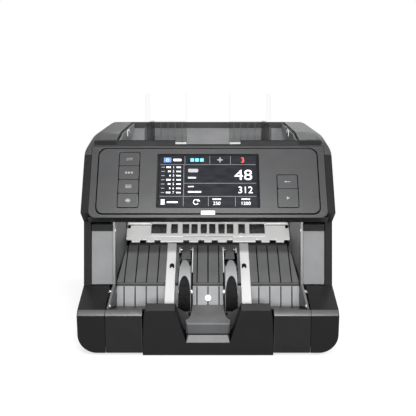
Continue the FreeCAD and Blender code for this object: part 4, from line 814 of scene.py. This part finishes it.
for name, (bars, outlines) in KEY_SIGNS.items():
    sign_print = Print(f"{name}_sign", Face(name), 0.01, 0.04)
    for bar in bars:
        sign_print.bar(*bar)
    for outline in outlines:
        sign_print.polygon(outline)
    sign_print.done("white_lens", key_print_ink, body=f"{name}_cap")


# Small pieces of the hopper guides

# White feet at the foot of the ribbed guides
FOOT_NEAR = 26.4
FOOT_FAR = 39.7
FOOT_TALL = 3.4
FOOT_UNDER_TOP = 58.8
FOOT_FRONT = 5.5
FOOT_BACK = 4.1
for side, sign in SIDES:
    _, high = box_mm(f"hopper_guide_{side}")
    foot_top = high.z - FOOT_UNDER_TOP
    profile = oblong(high.y - FOOT_FRONT, high.y - FOOT_BACK, foot_top - FOOT_TALL, foot_top)
    foot = extruded(profile, sign * FOOT_NEAR, sign * FOOT_FAR, corner=0.3)
    piece(f"guide_foot_{side}", foot, finish["off_white"], body=f"guide_{side}")

# Dark edges of the guides' ribs, as far up as the hopper hides what is behind them
RIBS = (56.7, 48.2, 39.7, 31.2)
RIB_HALF = 0.28
RIB_FRONT = 3.75
RIB_FOOT = 193.6
RIB_TOP = 217.0
for side, sign in SIDES:
    _, high = box_mm(f"hopper_guide_{side}")
    rib_front = high.y - RIB_FRONT
    ribs = Print(f"guide_ribs_{side}", slope((rib_front, RIB_FOOT), (rib_front, RIB_TOP)), 0.0, 0.1)
    for across in RIBS:
        ribs.bar(sign * across - RIB_HALF, sign * across + RIB_HALF, 0.0, RIB_TOP - RIB_FOOT)
    ribs.done("clear_guide", rib_and_shade_grey, body=f"guide_{side}")


# Painted highlights and shade on the base, the columns and the shoulders, and a skirt under the centre block

# Softly crowned grey strip along the base's ledge: a painted highlight on its bevel
LEDGE_LOW = (-122.5, 41.5)
LEDGE_HIGH = (-117.5, 46.5)
LEDGE_EDGE = 0.3
LEDGE_CROWN = 0.35
LEDGE_STEPS = 8
LEDGE_SPANS = {"corner": (102.6, 129.2), "fascia": (65.55, 102.0)}
ledge = slope(LEDGE_LOW, LEDGE_HIGH)
highlight_wide = math.dist(LEDGE_LOW, LEDGE_HIGH) - 2 * LEDGE_EDGE
crown = []
for step in range(LEDGE_STEPS + 1):
    share = step / LEDGE_STEPS
    place = ledge.place(0, LEDGE_EDGE + highlight_wide * share, LEDGE_CROWN * math.sin(math.pi * share)) / MM
    crown.append((place.y, place.z))
for side, sign in SIDES:
    for name, (near, far) in LEDGE_SPANS.items():
        highlight_strip = extruded(crown, sign * near, sign * far)
        piece(f"ledge_highlight_{name}_{side}", highlight_strip, ledge_highlight_grey)

# Paler caps on the tops of the two lobes of the centre block: painted light on their upward faces
LOBE_FRONT = (-124.0, 47.19)
LOBE_BACK = (-109.0, 50.0)
LOBE_EDGE = 0.9
LOBE_FAR = 61.8
LOBE_FRONT_NEAR = 32.7
LOBE_BACK_NEAR = 33.6
lobe_back = math.dist(LOBE_FRONT, LOBE_BACK) - LOBE_EDGE
lobe_light_caps = Print("lobe_light_caps", slope(LOBE_FRONT, LOBE_BACK), 0.02, 0.12)
for _, sign in SIDES:
    lobe_light_caps.polygon([(sign * LOBE_FRONT_NEAR, LOBE_EDGE), (sign * LOBE_FAR, LOBE_EDGE),
                       (sign * LOBE_FAR, lobe_back), (sign * LOBE_BACK_NEAR, lobe_back)])
lobe_light_caps.done("dark_case", lobe_light_grey)

# Skirt under the centre block
SKIRT_HALF = 65.2
SKIRT_LINE = ((-123.9, 2.7), (-123.9, 1.0), (-123.3, 0.5), (-121.0, 0.5), (-121.0, 2.7))
skirt = extruded(SKIRT_LINE, -SKIRT_HALF, SKIRT_HALF, corner=0.1)
piece("front_skirt", skirt, finish["dark_case"])

# Pale strip under the tongue, along the finger recess: a painted highlight on its bevel
RECESS_FRONT = (-124.0, 14.0)
RECESS_BACK = (-118.0, 20.0)
RECESS_FRONT_HALF = 21.5
RECESS_BACK_HALF = 19.6
RECESS_FRONT_EDGE = 0.3
RECESS_BACK_EDGE = 0.2
recess_back = math.dist(RECESS_FRONT, RECESS_BACK) - RECESS_BACK_EDGE
recess_highlight = Print("recess_highlight", slope(RECESS_FRONT, RECESS_BACK), 0.02, 0.14)
recess_highlight.polygon([(-RECESS_FRONT_HALF, RECESS_FRONT_EDGE), (RECESS_FRONT_HALF, RECESS_FRONT_EDGE),
                     (RECESS_BACK_HALF, recess_back), (-RECESS_BACK_HALF, recess_back)])
recess_highlight.done("grey_case", recess_highlight_grey)

# Dark band at the top of each column panel: painted shade under the head
COLUMN_LEAN = math.radians(12)
COLUMN_SHADE_TALL = 6.8
COLUMN_SHADE_WALL = 0.8
for side, _ in SIDES:
    low, high = box_mm(f"column_panel_{side}")
    foot = high.z - COLUMN_SHADE_TALL
    foot_along, top_along = (low.y + (level - low.z) * math.tan(COLUMN_LEAN) for level in (foot, high.z))
    profile = [(foot_along, foot), (foot_along - COLUMN_SHADE_WALL, foot),
               (top_along - COLUMN_SHADE_WALL, high.z), (top_along, high.z)]
    column_shade = extruded(profile, low.x, high.x, corner=0.25)
    piece(f"column_shade_band_{side}", column_shade, inlay_and_shade_black)

# Dark bands on the front faces of the shoulders: painted shade
BAND_NEAR = 97.2
BAND_FAR = 120.5
BAND_FOOT = (-40.6, 201.7)
BAND_TOP = (-37.0, 205.6)
BAND_WALL = 0.5
band_line = [BAND_FOOT, (BAND_FOOT[0] - BAND_WALL, BAND_FOOT[1] + BAND_WALL),
             (BAND_TOP[0] - BAND_WALL, BAND_TOP[1] + BAND_WALL), BAND_TOP]
for side, sign in SIDES:
    shoulder_shade = extruded(band_line, sign * BAND_NEAR, sign * BAND_FAR, corner=0.15)
    piece(f"shoulder_shade_band_{side}", shoulder_shade, inlay_and_shade_black)


# Side walls of the hopper

# Black seals along their tops
tray_low, tray_high = box_mm("hopper_tray")
SEAL_WIDE = 1.6
SEAL_TALL = 0.9
SEAL_LIFT = 0.05
SEAL_END = 0.4
CREST_RUN = 21.4
CREST_DROP = 2.0
FRONT_DROP = 6.0
tray_line = [(tray_low.y + SEAL_END, tray_high.z - FRONT_DROP),
             (tray_low.y + CREST_RUN, tray_high.z - CREST_DROP),
             (tray_high.y - SEAL_END, tray_high.z)]
seal_line = [(along, up + SEAL_LIFT) for along, up in tray_line]
seal_line += [(along, up + SEAL_TALL) for along, up in reversed(tray_line)]
for side, sign in SIDES:
    near, far = sign * (tray_high.x - SEAL_WIDE), sign * (tray_high.x - SEAL_LIFT)
    seal = extruded(seal_line, near, far, corner=0.2)
    piece(f"hopper_seal_{side}", seal, finish["rubber"])

# Wire clips high on the walls, clear of the guides' travel, white as painted glints on shiny clips
CLIP_OFF_WALL = 3.15
CLIP_WIRE = 0.55
CLIP_LINE = ((30.0, 203.8), (30.0, 208.6), (30.8, 209.6), (33.0, 210.0), (44.0, 210.2), (46.2, 209.8),
             (47.0, 209.0), (47.0, 206.6))
for side, sign in SIDES:
    across = sign * (tray_high.x - CLIP_OFF_WALL)
    clip = wire([(across, along, up) for along, up in CLIP_LINE], CLIP_WIRE)
    piece(f"hopper_clip_glint_{side}", clip, finish["off_white"])


# Pocket

# Dark strips in the flutes down the chute and on down the wall under it: painted shade in the grooves
CHUTE_NOSE = (-70.0, 59.0)
CHUTE_TIP = (-24.5, 87.6)
FLUTES = (88.9, 77.2, 65.5, 53.8, 11.7)
FLUTE_HALF = 0.62
FLUTE_FLOOR = -1.15
FLUTE_FILL = 0.55
FLUTE_START = 0.3
FLUTE_END = 0.2
WALL_THICK = 2.5
wall_low, wall_high = box_mm("stacker_back_wall")
wall_foot = (wall_low.y, wall_low.z)
wall_head = (wall_high.y - WALL_THICK, wall_high.z)
chute = slope(CHUTE_NOSE, CHUTE_TIP)
chute_long = math.dist(CHUTE_NOSE, CHUTE_TIP)
for name, plane, long in (("chute_flutes", chute, chute_long),
                          ("wall_flute_shade", slope(wall_foot, wall_head), math.dist(wall_foot, wall_head))):
    flutes = Print(name, plane, FLUTE_FLOOR, FLUTE_FILL)
    for across in (0.0, *FLUTES, *(-flute for flute in FLUTES)):
        flutes.bar(across - FLUTE_HALF, across + FLUTE_HALF, FLUTE_START, long - FLUTE_END)
    flutes.done("dark_case", inlay_and_shade_black)

# Round nose of the chute, in three spans beside and between the wheels, darker than the chute as painted shade
NOSE_RADIUS = 1.9
NOSE_MIDDLE = (-68.8, 57.0)
NOSE_STEPS = 20
NOSE_SPANS = {"left": (-96.2, -45.2), "middle": (-15.8, 15.8), "right": (45.2, 96.2)}
nose_line = arc_points(*NOSE_MIDDLE, NOSE_RADIUS, 0, 360, NOSE_STEPS)[:-1]
for name, (start, end) in NOSE_SPANS.items():
    piece(f"chute_nose_{name}", extruded(nose_line, start, end), nose_shade_grey)

# Caps and toothed liners at the wheel slots, measured down from the chute's upper end
WHEEL_SPREAD = 24.0
CAP_LONG = 21.4
CAP_END = 0.6
CAP_NARROW = 3.6
CAP_WIDE = 5.2
CAP_WAIST = 4.68
LINER = (16.3, 17.4)
OUTER_LINER = (30.5, 31.6)
LINER_TOP = 4.2
LINER_FOOT = 17.0
OUTER_LINER_FOOT = 11.0
TOOTH_TOP = 18.0
TOOTH_LONG = 2.6
TOOTH_PITCH = 3.7
TOOTH_COUNT = 6
caps = Print("slot_caps", chute, 0.08, 1.3)
liners = Print("slot_liners", chute, -1.0, 1.7)
cap_half = [(CAP_WIDE, CAP_LONG), (CAP_WAIST, CAP_LONG / 2), (CAP_NARROW, CAP_END)]
cap_line = cap_half + [(-across, down) for across, down in reversed(cap_half)]
for _, sign in SIDES:
    caps.polygon([(sign * WHEEL_SPREAD + across, chute_long - down) for across, down in cap_line])
    near, far = sorted(sign * across for across in LINER)
    liners.bar(near, far, chute_long - LINER_FOOT, chute_long - LINER_TOP)
    for index in range(TOOTH_COUNT):
        tooth_top = chute_long - TOOTH_TOP - TOOTH_PITCH * index
        liners.bar(near, far, tooth_top - TOOTH_LONG, tooth_top)
    near, far = sorted(sign * across for across in OUTER_LINER)
    liners.bar(near, far, chute_long - OUTER_LINER_FOOT, chute_long - LINER_TOP)
caps.done("dark_case", arm_grey, corner=0.3)
liners.done("off_white", white_and_glint_plastic, corner=0.12)

# Flare from the tongue's neck to its broad front, as (across, along)
TONGUE_FRONT = (-116.0, 32.0)
TONGUE_BACK = (-77.0, 36.5)
FLARE_DEEP = 3.0
FLARE_LIFT = 0.02
FLARE_LINE = ((16.4, -104.0), (16.4, -80.0), (16.9, -88.0), (17.4, -94.0), (17.9, -100.0), (18.8, -104.0),
              (20.0, -107.0), (22.4, -109.9))
stretch = math.dist(TONGUE_FRONT, TONGUE_BACK) / (TONGUE_BACK[0] - TONGUE_FRONT[0])
flare = Print("tongue_flare", slope(TONGUE_FRONT, TONGUE_BACK), -FLARE_DEEP, FLARE_DEEP + FLARE_LIFT)
for _, sign in SIDES:
    flare.polygon([(sign * across, (along - TONGUE_FRONT[0]) * stretch) for across, along in FLARE_LINE])
flare.done("grey_case", own_finish["finger_tongue"])

# Dark arched marks in the slide strips
STRIP_NOSE_LIFT = 3.12
STRIP_TIP_LIFT = 2.32
MARK_ACROSS = 38.9
MARK_HALF = 2.5
MARK_WALL = 1.5
MARK_FOOT = 16.2
MARK_SHOULDER = 20.4
MARK_STEPS = 12
strip = slope((CHUTE_NOSE[0], CHUTE_NOSE[1] + STRIP_NOSE_LIFT),
              (CHUTE_TIP[0], CHUTE_TIP[1] + STRIP_TIP_LIFT))
marks = Print("strip_marks", strip, 0.02, 0.12)
for _, sign in SIDES:
    middle = sign * MARK_ACROSS
    left, right = middle - MARK_HALF, middle + MARK_HALF
    marks.bar(left, left + MARK_WALL, MARK_FOOT, MARK_SHOULDER)
    marks.bar(right - MARK_WALL, right, MARK_FOOT, MARK_SHOULDER)
    marks.bar(left + MARK_WALL, right - MARK_WALL, MARK_FOOT + MARK_WALL, MARK_SHOULDER)
    marks.polygon(arc_points(middle, MARK_SHOULDER, MARK_HALF, 0, 180, MARK_STEPS))
marks.done("dark_case", bezel_black)

# Thin lip on the chute's upper end, under the teeth of the comb, in dark grey as painted shade in the gap there
CHUTE_LIP_HALF = 88.0
CHUTE_LIP_LAP = 0.4
CHUTE_LIP_REACH = 2.6
lip = Print("chute_lip_shade", chute, -0.1, 0.6)
lip.bar(-CHUTE_LIP_HALF, CHUTE_LIP_HALF, chute_long - CHUTE_LIP_LAP, chute_long + CHUTE_LIP_REACH)
lip.done("dark_case", rib_and_shade_grey)


# Outlet comb: sill under the windows, a rail above each end, grooves and bright blocks

COMB_FOOT = (-32.87, 96.99)
COMB_TOP = (-10.96, 114.42)
SILL_HALF = 63.6
SILL_LOW = 3.6
SILL_HIGH = 7.2
SILL_GROOVE_HALF = 27.5
SILL_GROOVE = (2.7, 3.3)
RAIL_NEAR = 64.2
RAIL_FAR = 89.2
RAIL_UP = 21.4
RAIL_LIFT = 0.8
RAIL_RADIUS = 1.25
RAIL_GROOVE = (18.8, 19.9)
COMB_BLOCK_NEAR = 34.8
COMB_BLOCK_FAR = 39.0
COMB_BLOCK_FOOT = 3.4
comb = slope(COMB_FOOT, COMB_TOP)
sill = Print("comb_sill", comb, 0.02, 0.45)
sill.bar(-SILL_HALF, SILL_HALF, SILL_LOW, SILL_HIGH)
sill.done("off_white", own_finish["outlet_comb"], corner=0.15)
grooves = Print("comb_grooves", comb, 0.01, 0.05)
grooves.bar(-SILL_GROOVE_HALF, SILL_GROOVE_HALF, *SILL_GROOVE)
blocks = Print("comb_blocks", comb, 0.5, 0.5)
for side, sign in SIDES:
    grooves.bar(*sorted((sign * RAIL_NEAR, sign * RAIL_FAR)), *RAIL_GROOVE)
    blocks.bar(*sorted((sign * COMB_BLOCK_NEAR, sign * COMB_BLOCK_FAR)), COMB_BLOCK_FOOT, SILL_HIGH)
    rail_ends = [comb.place(sign * across, RAIL_UP, RAIL_LIFT) / MM for across in (RAIL_NEAR, RAIL_FAR)]
    piece(f"comb_rail_{side}", wire(rail_ends, RAIL_RADIUS), white_and_glint_plastic)
grooves.done("light_grey", arm_grey)
blocks.done("off_white", white_and_glint_plastic, corner=0.12)


# Screws in the pocket's walls, bright white as painted glints, and bosses at the comb's ends, as (radius, height)
# profiles

SCREW_HEAD = ((1.3, 0.0), (1.3, 0.35), (1.0, 0.7), (0.55, 0.75), (0.45, 0.45), (0.2, 0.4))
END_BOSS = ((1.9, 0.0), (1.9, 0.8), (1.6, 1.0), (1.1, 1.0), (0.9, 0.3), (0.4, 0.3))
SCREWS = {"high": (96.95, -70.0, 116.0), "low": (98.9, -109.5, 47.5)}
BOSS_ACROSS = 88.0
BOSS_UP = 16.6
for side, sign in SIDES:
    for name, (across, along, up) in SCREWS.items():
        screw = lathe((sign * across, along, up), (-sign, 0, 0), SCREW_HEAD)
        piece(f"wall_screw_glint_{name}_{side}", screw, white_and_glint_plastic)
    boss = lathe(comb.place(sign * BOSS_ACROSS, BOSS_UP, 0.02) / MM, comb.out, END_BOSS)
    piece(f"comb_boss_{side}", boss, inlay_and_shade_black)


# Guards in front of the stacker wheels, and covers over the joints beside the centre block, paler than the fascia
# as painted light over the joints' shadow

GUARD_FRONT = -106.2
GUARD_BACK = -104.8
GUARD_LINE = ((19.6, 28.0), (19.6, 37.0), (33.5, 45.5), (27.5, 21.0), (22.8, 21.0))
JOINT_GAP = 0.02
JOINT_WIDE = 1.1
JOINT_FOOT = 0.6
JOINT_TOP = 41.4
JOINT_FRONT = -122.58
JOINT_BACK = -120.0
front_low, front_high = box_mm("stacker_front")
for side, sign in SIDES:
    guard = plate([(sign * across, up) for across, up in GUARD_LINE], GUARD_FRONT, GUARD_BACK, corner=0.2)
    piece(f"wheel_guard_{side}", guard, well_grey)
    near, far = sign * (front_high.x + JOINT_GAP), sign * (front_high.x + JOINT_WIDE)
    cover = plate(oblong(near, far, front_low.z + JOINT_FOOT, JOINT_TOP), JOINT_FRONT, JOINT_BACK)
    piece(f"joint_light_cover_{side}", cover, joint_light_grey)


# Light, floor and camera

WHITE = (1, 1, 1, 1)
FILL_STRENGTH = 0.22
scene = bpy.context.scene
scene.view_settings.view_transform = "Standard"


def background_rays(tree):
    """One for the rays that look at the background: straight, mirrored or through glass."""
    path = tree.nodes.new("ShaderNodeLightPath").outputs
    mirrored = calculate(tree, "MAXIMUM", path["Is Camera Ray"], path["Is Glossy Ray"])
    return calculate(tree, "MAXIMUM", mirrored, path["Is Transmission Ray"])


def mixed(tree, share, first, second):
    """The first shader, with a share of the second."""
    item = tree.nodes.new("ShaderNodeMixShader")
    tree.links.new(share, item.inputs["Fac"])
    tree.links.new(first.outputs[0], item.inputs[1])
    tree.links.new(second.outputs[0], item.inputs[2])
    return item.outputs[0]


world = bpy.data.worlds.new("studio")
world.use_nodes = True
scene.world = world
tree = world.node_tree
tree.nodes.clear()
fill = add_node(tree, "ShaderNodeBackground", Color=WHITE, Strength=FILL_STRENGTH)
backdrop = add_node(tree, "ShaderNodeBackground", Color=WHITE, Strength=1.0)
output = tree.nodes.new("ShaderNodeOutputWorld")
tree.links.new(mixed(tree, background_rays(tree), fill, backdrop), output.inputs["Surface"])

# White paper floor that keeps the object's shadow near it and turns to plain white further out
FLOOR_HALF = 4.0
GLOW_START = 0.35
GLOW_END = 1.0
floor_mesh = bmesh.new()
bmesh.ops.create_grid(floor_mesh, x_segments=2, y_segments=2, size=FLOOR_HALF)
floor_data = bpy.data.meshes.new("floor")
floor_mesh.to_mesh(floor_data)
floor_mesh.free()
floor = bpy.data.objects.new("floor", floor_data)
scene.collection.objects.link(floor)
floor_paint, shader, tree = material("floor_paint")
paper = noise(tree, 40.0, detail=3.0)
tree.links.new(ramp(tree, paper, (0.84, 0.84, 0.84), (0.86, 0.86, 0.86)), shader.inputs["Base Color"])
shader.inputs["Roughness"].default_value = 0.9
shader.inputs["Specular IOR Level"].default_value = 0.0
length = tree.nodes.new("ShaderNodeVectorMath")
length.operation = "LENGTH"
tree.links.new(own_space(tree), length.inputs[0])
radius = length.outputs["Value"]
glow = add_node(tree, "ShaderNodeEmission", Color=WHITE)
tree.links.new(fade(tree, radius, GLOW_START, GLOW_END, 1.2, 1.0), glow.inputs["Strength"])
glow_share = fade(tree, radius, GLOW_START, GLOW_END, 0.55, 1.0)
seen_share = calculate(tree, "MULTIPLY", background_rays(tree), glow_share)
tree.links.new(mixed(tree, seen_share, shader, glow), tree.nodes["Material Output"].inputs["Surface"])
floor_data.materials.append(floor_paint)

# Softboxes as place, width, height and power in watts
LAMP_AIM = Vector((0, 0, 0.12))
SOFTBOXES = {
    "front_light": ((0.0, -1.7, 0.42), 1.2, 0.24, 19),
    "face_light": ((0.0, -0.95, 1.0), 0.5, 0.1, 11),
    "top_light": ((-0.1, -1.0, 2.4), 1.1, 0.2, 7),
    "right_light": ((1.0, 0.1, 0.95), 0.4, 0.6, 9),
    "left_light": ((-1.6, 0.4, 0.4), 0.6, 0.6, 7),
    "back_light": ((0.3, 1.7, 0.85), 1.2, 0.5, 7),
}
for name, (place, wide, tall, power) in SOFTBOXES.items():
    lamp = bpy.data.lights.new(name, "AREA")
    lamp.shape = "RECTANGLE"
    lamp.size = wide
    lamp.size_y = tall
    lamp.energy = power
    item = bpy.data.objects.new(name, lamp)
    item.location = place
    item.rotation_euler = (LAMP_AIM - Vector(place)).to_track_quat("-Z", "Y").to_euler()
    scene.collection.objects.link(item)

camera = bpy.data.cameras.new("camera")
camera.lens = LENS
camera.sensor_width = SENSOR
eye = bpy.data.objects.new("camera", camera)
eye.location = (0, -EYE_DISTANCE, EYE_HEIGHT)
eye.rotation_euler = (math.radians(90 - EYE_PITCH), 0, 0)
scene.collection.objects.link(eye)
scene.camera = eye
